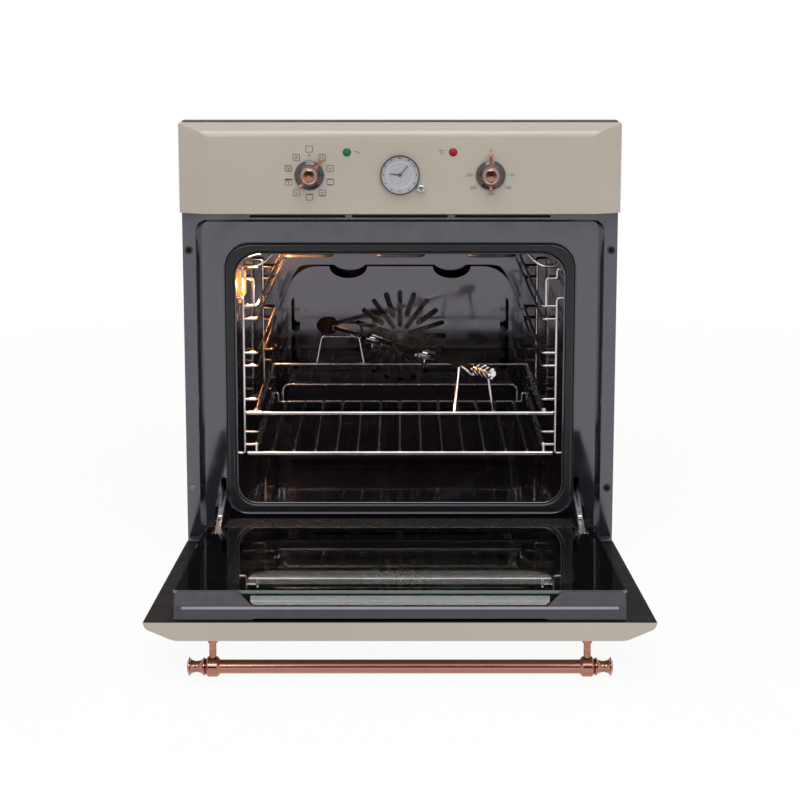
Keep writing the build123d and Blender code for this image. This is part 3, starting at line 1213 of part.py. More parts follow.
# Knobs: a black skirt on its shaft, and a copper top with ring, groove, cap and pointer bar
skirt_y = -FRONT_OUT - KNOB_FACE_GAP
top_y = skirt_y - KNOB_SKIRT_L
pointer_y = top_y - POINTER_R - 0.2
knob_turns = (("selector", SELECTOR_REST), ("thermostat", 0.0))
for (place, height), (name, turn) in zip(control_places(), knob_turns):
    centre = Vector(place, 0, height)
    knob_side = Plane(origin=centre, x_dir=(0, -1, 0), z_dir=(1, 0, 0))
    with BuildPart() as skirt:
        with BuildSketch(knob_side):
            with BuildLine():
                FilletPolyline((-skirt_y, 0), (-skirt_y, KNOB_SKIRT_R), (-skirt_y + 3, KNOB_SKIRT_R),
                               (-top_y, KNOB_TOP_R), (-top_y, 0), radius=[0.4, 1.2, 1.5])
                Line((-top_y, 0), (-skirt_y, 0))
            make_face()
        revolve(axis=Axis(centre, (0, 1, 0)))
        with BuildSketch(across(skirt_y)):
            with Locations((place, height)):
                Circle(CONTROL_SHAFT_R)
        extrude(amount=-(switch_front_y - skirt_y + 12))
    save(skirt, name + "_knob")
    with BuildPart() as pointer:
        with BuildSketch(knob_side):
            with BuildLine():
                front = -top_y + KNOB_RING_L
                Polyline((-top_y, 0), (-top_y, KNOB_RING_R), (front - 1, KNOB_RING_R),
                         (front, KNOB_RING_R - 0.8), (front, KNOB_GROOVE_R),
                         (front - KNOB_GROOVE_D, KNOB_GROOVE_R), (front - KNOB_GROOVE_D, KNOB_CAP_R),
                         (front - 0.5, KNOB_CAP_R), (front + 0.6, KNOB_CAP_R - 1.4), (front + 1, 0),
                         close=True)
            make_face()
        revolve(axis=Axis(centre, (0, 1, 0)))
        heading = Vector(sin(radians(turn)), 0, cos(radians(turn)))
        hub = Vector(place, pointer_y, height)
        tail, head = hub - heading * POINTER_TAIL, hub + heading * POINTER_HEAD
        add(rod(tail, head, POINTER_R))
        with Locations(tail, head):
            Sphere(POINTER_BALL_R)
    save(pointer, name + "_pointer")

# Clock: case through the panel, dial, two hands on one arbor, glass, and a setting knob
dial_y = -FRONT_OUT - CLOCK_DIAL_Y
glass_y = dial_y - CLOCK_GLASS_GAP
with BuildPart() as clock_case:
    with BuildSketch(across(-FRONT_OUT)):
        with Locations((0, CLOCK_Z)):
            Circle(CLOCK_R + CLOCK_BEZEL)
            Circle(CLOCK_R - 0.4, mode=Mode.SUBTRACT)
    extrude(amount=-glass_y - FRONT_OUT + CLOCK_GLASS)
    with BuildSketch(across(-FRONT_OUT + CLOCK_D)):
        with Locations((0, CLOCK_Z)):
            Circle(CLOCK_R - 0.4)
    extrude(amount=CLOCK_D + CLOCK_DIAL_Y + DIAL_T)
    with BuildSketch(across(dial_y - DIAL_T)):
        with Locations((0, CLOCK_Z)):
            Circle(ARBOR_R + BORE_GAP)
    extrude(amount=-8, mode=Mode.SUBTRACT)
save(clock_case, "clock_case")

with BuildPart() as clock_glass:
    with BuildSketch(across(glass_y)):
        with Locations((0, CLOCK_Z)):
            Circle(CLOCK_R - 0.4)
    extrude(amount=CLOCK_GLASS)
save(clock_glass, "clock_glass")

hand_front_y = dial_y - DIAL_T
with BuildPart() as hour_hand:
    with BuildSketch(across(hand_front_y - 0.5)):
        with Locations((0, CLOCK_Z)):
            Circle(2.6)
            with Locations(Location((0, 0), -HOUR_ANGLE)):
                with Locations((0, HOUR_HAND_L / 2)):
                    Trapezoid(2.2, HOUR_HAND_L, 88)
            Circle(ARBOR_R + BORE_GAP, mode=Mode.SUBTRACT)
    extrude(amount=0.6)
save(hour_hand, "hour_hand")

with BuildPart() as minute_hand:
    with BuildSketch(across(hand_front_y - 1.6)):
        with Locations((0, CLOCK_Z)):
            Circle(2.2)
            with Locations(Location((0, 0), -MINUTE_ANGLE)):
                with Locations((0, MINUTE_HAND_L / 2)):
                    Trapezoid(1.6, MINUTE_HAND_L, 89)
    extrude(amount=0.6)
    with BuildSketch(across(hand_front_y - 1.6)):
        with Locations((0, CLOCK_Z)):
            Circle(ARBOR_R)
    extrude(amount=-7)
save(minute_hand, "minute_hand")

with BuildPart() as clock_knob:
    with BuildSketch(Plane(origin=(CLOCK_KNOB_X, 0, CLOCK_KNOB_Z), x_dir=(0, -1, 0), z_dir=(1, 0, 0))):
        with BuildLine():
            front = FRONT_OUT + KNOB_FACE_GAP
            FilletPolyline((front, 0), (front, CLOCK_KNOB_R - 0.8), (front + 4, CLOCK_KNOB_R),
                           (front + CLOCK_KNOB_L, CLOCK_KNOB_R - 0.6), (front + CLOCK_KNOB_L, 0),
                           radius=[0.5, 1, 1.6])
            Line((front + CLOCK_KNOB_L, 0), (front, 0))
        make_face()
    revolve(axis=Axis((CLOCK_KNOB_X, 0, CLOCK_KNOB_Z), (0, 1, 0)))
    with BuildSketch(across(-FRONT_OUT - KNOB_FACE_GAP)):
        with Locations((CLOCK_KNOB_X, CLOCK_KNOB_Z)):
            Circle(2)
    extrude(amount=-(FRONT_OUT + RIM_Y + 14))
save(clock_knob, "clock_knob")

# Door skin: pressed face with bevels at its sides and bottom, flat at its top edge
door_rim_plane = DOOR.offset(RIM_OUT)
door_cross_plane = Plane(origin=door_rim_plane.from_local_coords(Vector(0, DOOR_LOW, 0)),
                         x_dir=DOOR.x_dir, z_dir=-DOOR.y_dir)
door_side_plane = Plane(origin=door_rim_plane.origin, x_dir=DOOR.y_dir, z_dir=DOOR.x_dir)


def door_block(inset):
    """Solid under the door's pressed face."""
    return pressed_block(door_cross_plane, door_side_plane, FRONT_W / 2, DOOR_LOW, DOOR_TOP,
                         SKIN_BEVEL, 0, inset)


def door_slab(half_w, low, top, out, thickness):
    """Slab in the door, from its outward distance inwards by its thickness."""
    with BuildPart(mode=Mode.PRIVATE) as slab:
        with BuildSketch(DOOR.offset(out)):
            with Locations((0, (low + top) / 2)):
                Rectangle(2 * half_w, top - low)
        extrude(amount=-thickness)
    return slab.part


door_outside = door_block(0)
door_hollow = door_block(SHEET)
skin_inside = door_hollow & door_slab(FRONT_W, DOOR_LOW - 5, DOOR_TOP + 5, FACE_OUT + 1, SKIN_D + 1 - SHEET)
return_opening = door_slab(FRONT_W / 2 - SKIN_RETURN, DOOR_LOW + SKIN_RETURN, DOOR_TOP - SKIN_RETURN,
                           RIM_OUT + 2 * SHEET, 4 * SHEET)
outer_window_shape = arch(OUTER_WINDOW_W / 2, OUTER_WINDOW_LOW, OUTER_WINDOW_TOP, OUTER_WINDOW_R,
                          OUTER_WINDOW_R)
post_xs = (-HANDLE_SPAN / 2, HANDLE_SPAN / 2)
boss_notches = []
hinge_notches = []
notch_half = HINGE_SLOT_W / 2 + 0.8
for side in (-1, 1):
    to_hinge = Location((side * HINGE_X, 0, 0))
    boss_reach = BOSS_R + MOVING_GAP
    boss_notch = door_slab(CHEEK_X + CHEEK_T + MOVING_GAP, -boss_reach, boss_reach, boss_reach,
                           2 * boss_reach)
    boss_notches.append(boss_notch.moved(to_hinge))
    notch = door_slab(notch_half, DOOR_LOW - 5, CHEEK_TOP + 4, RIM_OUT + 2, RIM_OUT + 2 - INNER_OUT + 5)
    hinge_notches.append(notch.moved(to_hinge))

with BuildPart() as door_skin:
    add(door_outside)
    add([skin_inside, return_opening] + boss_notches, mode=Mode.SUBTRACT)
    with BuildSketch(DOOR.offset(FACE_OUT + 1)):
        add(outer_window_shape)
    extrude(amount=-3 * SHEET, mode=Mode.SUBTRACT)
save(door_skin, "door_skin")

with BuildPart() as outer_window:
    with BuildSketch(DOOR.offset(FACE_OUT - SHEET)):
        add(arch(OUTER_WINDOW_W / 2 + OUTER_WINDOW_LAP, OUTER_WINDOW_LOW - OUTER_WINDOW_LAP,
                 OUTER_WINDOW_TOP + OUTER_WINDOW_LAP, OUTER_WINDOW_LAP, OUTER_WINDOW_LAP))
    extrude(amount=-3)
    with BuildSketch(DOOR.offset(FACE_OUT - SHEET)):
        add(offset(outer_window_shape, amount=-0.3, mode=Mode.PRIVATE))
    extrude(amount=SHEET - 0.2)
save(outer_window, "outer_window")

# Door tub: black pressing on the skin's rim that carries the glasses, mouldings and hinges
tub_top_out = INNER_OUT + GLASS
tub_low = DOOR_LOW + TUB_FLOOR
tub_outside = door_slab(TUB_W / 2, tub_low, INNER_GLASS_TOP + 2, RIM_OUT - 0.2, RIM_OUT - 0.2 - tub_top_out)
tub_inside = door_slab(TUB_W / 2 - SHEET, tub_low + SHEET, INNER_GLASS_TOP + 2 - SHEET, RIM_OUT + 1,
                       RIM_OUT + 1 - tub_top_out - SHEET)
tub_plate = door_slab(FRONT_W / 2 - 1, DOOR_LOW + 1, DOOR_TOP - 1, RIM_OUT, SHEET)
air_slot = door_slab(AIR_SLOT_W / 2, INNER_GLASS_TOP, INNER_GLASS_TOP + 3, RIM_OUT - AIR_SLOT_OUT,
                     RIM_OUT - AIR_SLOT_OUT - tub_top_out - 1.5 * SHEET)
window_shape = arch(TUB_WINDOW_W / 2, TUB_WINDOW_LOW, TUB_WINDOW_TOP, OUTER_WINDOW_R, OUTER_WINDOW_R)
with BuildPart() as door_tub:
    add([tub_plate, tub_outside])
    add(tub_inside, mode=Mode.SUBTRACT)
    with BuildSketch(DOOR.offset(tub_top_out - 1)):
        add(window_shape)
    extrude(amount=4, mode=Mode.SUBTRACT)
    add(hinge_notches, mode=Mode.SUBTRACT)
    add(air_slot, mode=Mode.SUBTRACT)
save(door_tub, "door_tub")

# Glasses of the door
inner_glass_blank = door_slab(INNER_GLASS_W / 2, INNER_GLASS_LOW, INNER_GLASS_TOP, tub_top_out, GLASS)
with BuildPart() as inner_glass:
    add(inner_glass_blank)
    fillet(inner_glass.edges().filter_by(Axis((0, 0, 0), DOOR.z_dir)).sort_by(Axis.Y)[:2], GLASS_CORNER_R)
    add(hinge_notches, mode=Mode.SUBTRACT)
save(inner_glass, "inner_glass")

middle_out = RIM_OUT - MIDDLE_GLASS_IN
with BuildPart() as middle_glass:
    add(door_slab(MIDDLE_GLASS_W / 2, TUB_WINDOW_LOW - 14, INNER_GLASS_TOP - 1 - SHEET, middle_out, GLASS))
save(middle_glass, "middle_glass")

with BuildPart() as glass_rails:
    for side in (-1, 1):
        inner = side * (MIDDLE_GLASS_W / 2 - 6)
        outer = side * (TUB_W / 2 - SHEET)
        for out in (middle_out, middle_out - GLASS - 1.5):
            rail = door_slab(abs(outer - inner) / 2, CHEEK_TOP + 6, INNER_GLASS_TOP - 10, out + 1.5, 1.5)
            add(rail.moved(Location(((inner + outer) / 2, 0, 0))))
        web = door_slab(0.75, CHEEK_TOP + 6, INNER_GLASS_TOP - 10, middle_out + 1.5, GLASS + 3)
        add(web.moved(Location((side * (MIDDLE_GLASS_W / 2 + 1), 0, 0))))
save(glass_rails, "glass_rails")

# Lower trim: a black tongue between the hinges in the plane of the inner glass, and two corners
with BuildPart() as lower_trim:
    add(door_slab(TONGUE_W / 2, TONGUE_LOW, INNER_GLASS_LOW - 0.5, tub_top_out, GLASS))
    for side in (-1, 1):
        corner = door_slab(LOW_CORNER_W / 2, TONGUE_LOW + 6, INNER_GLASS_LOW - 0.5, tub_top_out, GLASS)
        add(corner.moved(Location((side * (INNER_GLASS_W / 2 - LOW_CORNER_W / 2 - 1), 0, 0))))
save(lower_trim, "lower_trim")

# Moulding along the door's top edge: a front bar, and two raised sloping end bands
moulding_back = INNER_GLASS_TOP + 2
with BuildPart() as top_moulding:
    with BuildSketch(door_side(-MOULDING_W / 2 + 9)):
        with BuildLine():
            Polyline((moulding_back, RIM_OUT - SHEET), (MOULDING_FRONT, RIM_OUT - SHEET - 3),
                     (MOULDING_FRONT, RIM_OUT - 15), (MOULDING_FRONT - 3, RIM_OUT - 17.5),
                     (MOULDING_FRONT - 6, RIM_OUT - 17.5), (MOULDING_FRONT - 6, RIM_OUT - 14),
                     (moulding_back, RIM_OUT - 14), close=True)
        make_face()
    extrude(amount=MOULDING_W - 18)
    for side in (-1, 1):
        outer = side * MOULDING_W / 2
        inner = side * (MOULDING_W / 2 - MOULDING_BAND_W - MOULDING_RAMP)
        band_plane = Plane(origin=DOOR.from_local_coords(Vector(0, moulding_back, 0)),
                           x_dir=DOOR.x_dir, z_dir=DOOR.y_dir)
        with BuildPart(mode=Mode.PRIVATE) as band:
            with BuildSketch(band_plane):
                with BuildLine():
                    FilletPolyline((outer, SHEET - RIM_OUT), (outer, -INNER_OUT - 1),
                                   (inner + side * MOULDING_RAMP, -INNER_OUT - 1),
                                   (inner, 17.5 - RIM_OUT), (inner, SHEET - RIM_OUT),
                                   close=True, radius=[0.5, 5, 5, 2, 0.5])
                make_face()
            extrude(amount=MOULDING_FRONT - 3 - moulding_back)
            with BuildSketch(door_side(-MOULDING_W / 2 - 1)):
                with BuildLine():
                    Polyline((MOULDING_FRONT, RIM_OUT - 19), (MOULDING_FRONT - 3, RIM_OUT - 19),
                             (moulding_back + 1.5, INNER_OUT + 1), (moulding_back + 1.5, INNER_OUT - 1),
                             (MOULDING_FRONT, INNER_OUT - 1), close=True)
                make_face()
            extrude(amount=MOULDING_W + 2, mode=Mode.SUBTRACT)
        add(band)
save(top_moulding, "top_moulding")

# Hinges: fixed brackets on the base, cheeks and pins on the door
with BuildPart() as hinge_brackets:
    for side in (-1, 1):
        middle = side * HINGE_X
        with BuildSketch(side_on(middle - ARM_T / 2)):
            with BuildLine():
                Polyline((PIVOT_Y, PIVOT_Z - BOSS_R + 5), (PIVOT_Y, ARM_TOP_Z), (40, ARM_TOP_Z),
                         (40, ARM_LOW_Z),
                         (FRAME_BACK_Y + CASING_SHEET, CASING_SHEET), (0, PIVOT_Z - 1), close=True)
            make_face()
            with Locations((PIVOT_Y, PIVOT_Z)):
                Circle(BOSS_R)
                Circle(PIN_R + BORE_GAP, mode=Mode.SUBTRACT)
        extrude(amount=ARM_T)
        inner, outer = sorted((side * (HINGE_X - ARM_T / 2), side * (HINGE_X + 8)))
        add(block(inner, outer, FRAME_BACK_Y + CASING_SHEET, HINGE_CASE_D, CASING_SHEET, CASING_SHEET + 2))
        wall_in, wall_out = sorted((side * (HINGE_X + 6), side * (HINGE_X + 8)))
        add(block(wall_in, wall_out, FRAME_BACK_Y + CASING_SHEET, HINGE_CASE_D, CASING_SHEET, HINGE_WALL_H))
save(hinge_brackets, "hinge_brackets")

hinge_pin = Vector(0, PIVOT_Y, PIVOT_Z)
strut_pin = DOOR.from_local_coords(Vector(0, STRUT_HEIGHT, -STRUT_INSET))
with BuildPart() as hinge_pins:
    for side in (-1, 1):
        for pin, radius in ((hinge_pin, PIN_R), (strut_pin, STRUT_PIN_R)):
            centre = pin + Vector(side * HINGE_X, 0, 0)
            reach = Vector(CHEEK_X + CHEEK_T, 0, 0)
            add(rod(centre - reach, centre + reach, radius))
save(hinge_pins, "hinge_pins")

with BuildPart() as door_cheeks:
    for side in (-1, 1):
        for hand in (-1, 1):
            cheek = side * HINGE_X + hand * (CHEEK_X + CHEEK_T / 2)
            with BuildSketch(door_side(cheek - CHEEK_T / 2)):
                with BuildLine():
                    Polyline((tub_low + SHEET, RIM_OUT - SHEET), (CHEEK_TOP, RIM_OUT - SHEET),
                             (CHEEK_TOP, tub_top_out + SHEET), (-2, tub_top_out + SHEET),
                             (tub_low + SHEET, -6), close=True)
                make_face()
                with Locations((0, 0)):
                    Circle(PIN_R, mode=Mode.SUBTRACT)
                with Locations((STRUT_HEIGHT, -STRUT_INSET)):
                    Circle(STRUT_PIN_R, mode=Mode.SUBTRACT)
            extrude(amount=CHEEK_T)
save(door_cheeks, "door_cheeks")

# Struts: pressed channels that pivot on the door and run through the slots of the front frame
lean = radians(STRUT_REST_ANGLE)
strut_planes = [
    Plane(origin=strut_pin + Vector(side * HINGE_X - STRUT_W / 2, 0, 0), x_dir=(0, cos(lean), sin(lean)),
          z_dir=(1, 0, 0))
    for side in (-1, 1)
]
with BuildPart() as struts:
    for strut_plane in strut_planes:
        with BuildSketch(strut_plane):
            with Locations((STRUT_L / 2, 0)):
                SlotOverall(STRUT_L + STRUT_H, STRUT_H)
        extrude(amount=STRUT_W)
        with BuildSketch(strut_plane.offset(STRUT_SHEET)):
            with Locations((STRUT_L / 2, STRUT_SHEET)):
                Rectangle(STRUT_L + 4 * STRUT_H, STRUT_H)
        extrude(amount=STRUT_W - 2 * STRUT_SHEET, mode=Mode.SUBTRACT)
        with BuildSketch(strut_plane):
            Circle(STRUT_PIN_R + BORE_GAP)
        extrude(amount=STRUT_W, mode=Mode.SUBTRACT)
        with BuildSketch(strut_plane.offset(STRUT_SHEET)):
            with Locations((LATCH_PLACE, LATCH_RISE)):
                SlotOverall(LATCH_L, LATCH_H)
        extrude(amount=STRUT_W - 2 * STRUT_SHEET)
save(struts, "struts")

# Handle: a bar between two bosses on posts, with turned finials
bar_out = FACE_OUT + HANDLE_STAND
bar_axis = DOOR.from_local_coords(Vector(0, HANDLE_HEIGHT, bar_out))
boss_half = BOSS_L / 2
with BuildPart() as handle_bar:
    add(rod(bar_axis - Vector(HANDLE_SPAN / 2 - boss_half, 0, 0),
            bar_axis + Vector(HANDLE_SPAN / 2 - boss_half, 0, 0), HANDLE_R))
save(handle_bar, "handle_bar")

with BuildPart() as handle_posts:
    for place in post_xs:
        centre = bar_axis + Vector(place, 0, 0)
        with BuildSketch(Plane(origin=centre, x_dir=(1, 0, 0), z_dir=(0, 0, 1))):
            with BuildLine():
                FilletPolyline((-boss_half, 0), (-boss_half, HANDLE_BOSS_R - 3),
                               (-boss_half + 3, HANDLE_BOSS_R), (boss_half - 3, HANDLE_BOSS_R),
                               (boss_half, HANDLE_BOSS_R - 3), (boss_half, 0),
                               radius=[0.6, 1.5, 1.5, 0.6])
                Line((boss_half, 0), (-boss_half, 0))
            make_face()
        revolve(axis=Axis(centre, (1, 0, 0)))
        face_point = DOOR.from_local_coords(Vector(place, HANDLE_HEIGHT, FACE_OUT))
        collar_end = DOOR.from_local_coords(Vector(place, HANDLE_HEIGHT, FACE_OUT + POST_COLLAR_L))
        add(rod(face_point, collar_end, POST_COLLAR_R))
        add(rod(face_point, centre, POST_R))
save(handle_posts, "handle_posts")

finial_l = (HANDLE_W - HANDLE_SPAN) / 2 - boss_half
with BuildPart() as handle_finials:
    for side in (-1, 1):
        base = bar_axis + Vector(side * (HANDLE_SPAN / 2 + boss_half), 0, 0)
        with BuildSketch(Plane(origin=base, x_dir=(side, 0, 0), z_dir=(0, 0, side))):
            with BuildLine():
                Polyline((0, 0), (0, 9.2), (1.2, 10.6), (2.4, 10.6), (3.2, 9.4), (4.2, 8.6))
                ThreePointArc((4.2, 8.6), (finial_l / 2 + 0.5, 6.6), (finial_l - 4.2, 8.8))
                Polyline((finial_l - 4.2, 8.8), (finial_l - 3.4, 10.8), (finial_l - 2.2, 10.8),
                         (finial_l, 6.2), (finial_l, 0), (0, 0))
            make_face()
        revolve(axis=Axis(base, (1, 0, 0)))
save(handle_finials, "handle_finials")
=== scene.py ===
# %% [markdown]
# # A built-in electric oven, dressed over its CAD model
# The oven's steel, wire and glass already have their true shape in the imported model.
# This lesson sets a camera, gives each part the finish of the real thing, and adds what
# is too fine for a CAD model: the printed signs, the beads round the mouth, the screws.
# We load the model first, because every later step measures itself against it.

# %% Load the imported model
import math

import bmesh
import bpy
import numpy as np
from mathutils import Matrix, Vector


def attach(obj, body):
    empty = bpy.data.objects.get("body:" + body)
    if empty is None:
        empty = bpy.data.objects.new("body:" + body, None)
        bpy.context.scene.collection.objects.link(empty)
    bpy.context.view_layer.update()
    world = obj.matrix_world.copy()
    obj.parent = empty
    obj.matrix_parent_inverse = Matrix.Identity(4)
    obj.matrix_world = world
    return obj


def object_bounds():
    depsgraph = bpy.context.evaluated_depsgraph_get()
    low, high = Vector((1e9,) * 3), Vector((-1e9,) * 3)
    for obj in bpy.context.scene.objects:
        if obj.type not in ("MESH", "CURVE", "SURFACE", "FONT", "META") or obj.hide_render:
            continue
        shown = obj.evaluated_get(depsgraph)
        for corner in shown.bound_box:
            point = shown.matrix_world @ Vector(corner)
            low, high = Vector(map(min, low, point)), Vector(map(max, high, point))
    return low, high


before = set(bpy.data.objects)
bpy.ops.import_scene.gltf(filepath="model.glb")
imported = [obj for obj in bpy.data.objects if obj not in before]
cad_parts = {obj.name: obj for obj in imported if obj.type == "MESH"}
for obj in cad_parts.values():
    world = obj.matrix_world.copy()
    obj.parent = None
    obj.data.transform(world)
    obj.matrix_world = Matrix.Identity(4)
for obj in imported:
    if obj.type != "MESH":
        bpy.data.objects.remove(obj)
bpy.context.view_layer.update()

# %% [markdown]
# ## Camera
# The photographer stood in front of the oven, a little above it, with a long lens.
# We could aim the camera with a constraint, but plain numbers keep the view exact.
# The lens is 87 mm on a 36 mm film. It looks down by ten degrees, and a small shift
# keeps the upright edges close to parallel, as they are on the real object.

# %% Camera
MM = 0.001
LENS = 86.84
LOOKS_DOWN = 9.738
camera_data = bpy.data.cameras.new("viewer")
camera_data.lens = LENS
camera_data.sensor_width = 36.0
camera_data.shift_y = -0.1
camera = bpy.data.objects.new("viewer", camera_data)
camera.location = (0.0, -2.6203, 0.7695)
camera.rotation_euler = (math.radians(90 - LOOKS_DOWN), 0.0, 0.0)
bpy.context.scene.collection.objects.link(camera)
bpy.context.scene.camera = camera
bpy.context.scene.view_settings.view_transform = "Standard"
print("lens of", LENS, "mm, looking down by", LOOKS_DOWN, "degrees")

# %% [markdown]
# ## Light
# A studio tent lights the oven. Enamel and chrome are only as good as what they mirror,
# so the world is white where the camera, a gloss or a clear piece looks at it. Only the
# room behind the photographer is dark, and it is what gives the black enamel its depth.
# A low dark wall far behind the oven does the same for the glass of the open door.
# For plain diffuse light the world is dimmer, and three soft lamps give the shade.
# The two dark walls are products of ramps, each a straight line held between 0 and 1:
# one ramp says how far a ray heads forwards or back, the other how low it heads.


# %% World
def node_math(tree, operation, first, second=0.0, third=0.0, clamp=False):
    """A maths node: each input is another node's output or a plain number."""
    node = tree.nodes.new("ShaderNodeMath")
    node.operation = operation
    node.use_clamp = clamp
    for place, value in enumerate((first, second, third)):
        if isinstance(value, (int, float)):
            node.inputs[place].default_value = value
        else:
            tree.links.new(value, node.inputs[place])
    return node.outputs[0]


def held_line(tree, value, slope, start):
    """Slope times the value, plus a start, held between 0 and 1."""
    return node_math(tree, "MULTIPLY_ADD", value, slope, start, clamp=True)


def seen_ray(tree):
    """1 for rays from the camera, a gloss or a clear piece, and 0 for plain diffuse ones."""
    ray = tree.nodes.new("ShaderNodeLightPath").outputs
    seen = node_math(tree, "MAXIMUM", ray["Is Camera Ray"], ray["Is Glossy Ray"])
    return node_math(tree, "MAXIMUM", seen, ray["Is Transmission Ray"])


DARKEST = 0.975
DIM_STRENGTH = 0.45
world = bpy.data.worlds.new("studio")
bpy.context.scene.world = world
world.use_nodes = True
sky = world.node_tree
sky.nodes.clear()
ray = sky.nodes.new("ShaderNodeLightPath")
heading = sky.nodes.new("ShaderNodeTexCoord")
axes = sky.nodes.new("ShaderNodeSeparateXYZ")
sky.links.new(heading.outputs["Generated"], axes.inputs["Vector"])
frontal = held_line(sky, axes.outputs["Y"], -4.0, -2.2)
front_low = held_line(sky, axes.outputs["Z"], -6.5, 3.7)
behind = held_line(sky, axes.outputs["Y"], 12.0, -10.6)
back_low = held_line(sky, axes.outputs["Z"], -10.0, 3.2)
back_wall = node_math(sky, "MULTIPLY", behind, back_low)
dark_room = held_line(sky, frontal, front_low, back_wall)
dark_room = node_math(sky, "MULTIPLY", dark_room, ray.outputs["Is Glossy Ray"])
tent = node_math(sky, "MULTIPLY_ADD", dark_room, -DARKEST, 1.0)
seen = seen_ray(sky)
dim = sky.nodes.new("ShaderNodeBackground")
dim.inputs["Color"].default_value = (0.96, 0.97, 1.0, 1.0)
dim.inputs["Strength"].default_value = DIM_STRENGTH
bright = sky.nodes.new("ShaderNodeBackground")
bright.inputs["Color"].default_value = (1.0, 1.0, 1.0, 1.0)
sky.links.new(tent, bright.inputs["Strength"])
choose = sky.nodes.new("ShaderNodeMixShader")
sky_out = sky.nodes.new("ShaderNodeOutputWorld")
sky.links.new(seen, choose.inputs["Fac"])
sky.links.new(dim.outputs[0], choose.inputs[1])
sky.links.new(bright.outputs[0], choose.inputs[2])
sky.links.new(choose.outputs[0], sky_out.inputs["Surface"])
print("world strength for diffuse light", DIM_STRENGTH)


# %% Lamps
def soft_lamp(name, place, aim, size, power):
    """Square area lamp at place, turned so that its light goes towards aim."""
    data = bpy.data.lights.new(name, "AREA")
    data.size = size
    data.energy = power
    lamp = bpy.data.objects.new(name, data)
    lamp.location = place
    beam = Vector(aim) - Vector(place)
    lamp.rotation_euler = beam.to_track_quat("-Z", "Y").to_euler()
    bpy.context.scene.collection.objects.link(lamp)
    return lamp


soft_lamp("lamp_above", (0.0, -0.9, 2.6), (0.0, -0.1, 0.3), 1.6, 27.0)
soft_lamp("lamp_left", (-1.0, -2.9, 1.7), (0.0, 0.0, 0.3), 1.2, 20.0)
soft_lamp("lamp_right", (1.2, -2.9, 1.7), (0.0, 0.0, 0.3), 1.2, 24.0)

# %% [markdown]
# ## Surfaces from arrays
# Most extra pieces are a profile carried along a path, such as a bead, a wire or one
# printed line. We could use curve objects, but an array of points is easier to measure.
# Two helpers do it all: one lays faces over a grid of points, one carries a profile.
# Millimetres suit such small things, so the points turn into metres only in the mesh.


# %% Grid of faces
def grid_faces(rows, columns, start=0):
    """Faces of a grid whose columns close on themselves: four neighbours make one face."""
    row = np.arange(rows - 1)[:, None] * columns
    here = np.arange(columns)[None, :]
    after = (here + 1) % columns
    corners = [row + here, row + after, row + columns + after, row + columns + here]
    return (np.stack(corners, axis=-1).reshape(-1, 4) + start).tolist()


def carried(path, profile, side, ends="cap"):
    """Points and faces of a profile carried along a path.

    At each point the tangent is the direction to the next point from the last one, and
    the sideways direction is the tangent crossed with the fixed direction `side`. A
    profile point (a, b) goes a along the sideways direction and b along `side`.
    """
    path = np.asarray(path, float)
    profile = np.asarray(profile, float)
    if ends == "loop":
        tangent = np.roll(path, -1, axis=0) - np.roll(path, 1, axis=0)
    else:
        tangent = np.gradient(path, axis=0)
    tangent = tangent / np.linalg.norm(tangent, axis=1, keepdims=True)
    side = np.broadcast_to(np.asarray(side, float), path.shape)
    across = np.cross(tangent, side)
    across = across / np.linalg.norm(across, axis=1, keepdims=True)
    upward = np.cross(across, tangent)
    points = (path[:, None, :] + profile[None, :, :1] * across[:, None, :]
              + profile[None, :, 1:] * upward[:, None, :])
    rows, columns = len(path), len(profile)
    if ends == "loop":
        points = np.concatenate([points, points[:1]])
        rows += 1
    faces = grid_faces(rows, columns)
    if ends == "cap":
        faces.append(list(range(columns))[::-1])
        faces.append([(rows - 1) * columns + k for k in range(columns)])
    return points.reshape(-1, 3), faces


def circle(radius, sides=16):
    """Points of a circle: radius times cosine and sine of evenly spaced angles."""
    angle = np.arange(sides) * 2 * np.pi / sides
    return np.stack([radius * np.cos(angle), radius * np.sin(angle)], axis=1)


FORWARD = (0.0, -1.0, 0.0)
print("a ring of 16 sides on 3 rows has", len(grid_faces(3, 16)), "faces")


# %% Mesh from parts
SAME_POINT = 1e-6
SHARP = math.radians(35)


def mesh_piece(name, parts, finish, body, smooth=True):
    """One object from several (points, faces) parts, in metres, that rides on a body."""
    points, faces, start = [], [], 0
    for part_points, part_faces in parts:
        points.append(part_points)
        faces += [[k + start for k in face] for face in part_faces]
        start += len(part_points)
    mesh = bpy.data.meshes.new(name)
    mesh.from_pydata((np.concatenate(points) * MM).tolist(), [], faces)
    mesh.validate()
    piece = bpy.data.objects.new(name, mesh)
    bpy.context.scene.collection.objects.link(piece)
    joined = bmesh.new()
    joined.from_mesh(mesh)
    bmesh.ops.remove_doubles(joined, verts=joined.verts, dist=SAME_POINT)
    bmesh.ops.recalc_face_normals(joined, faces=joined.faces)
    joined.to_mesh(mesh)
    joined.free()
    if smooth:
        mesh.shade_smooth()
        mesh.set_sharp_from_angle(angle=SHARP)
    mesh.materials.append(finish)
    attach(piece, body)
    return piece


print("a millimetre is", MM, "m in the mesh")

# %% [markdown]
# ## Finishes
# Each finish is a Principled surface with the flaws that the real one has. A noise in
# Object coordinates varies its colour, another its polish, and a third gives relief.
# The scale of each noise is in cells per metre, so a value of 400 is a 2.5 mm grain.
# A noise seldom leaves the span from 0.3 to 0.7, so that span gets the full change.


# %% Helpers for finishes
NOISE_SPAN = (0.3, 0.7)


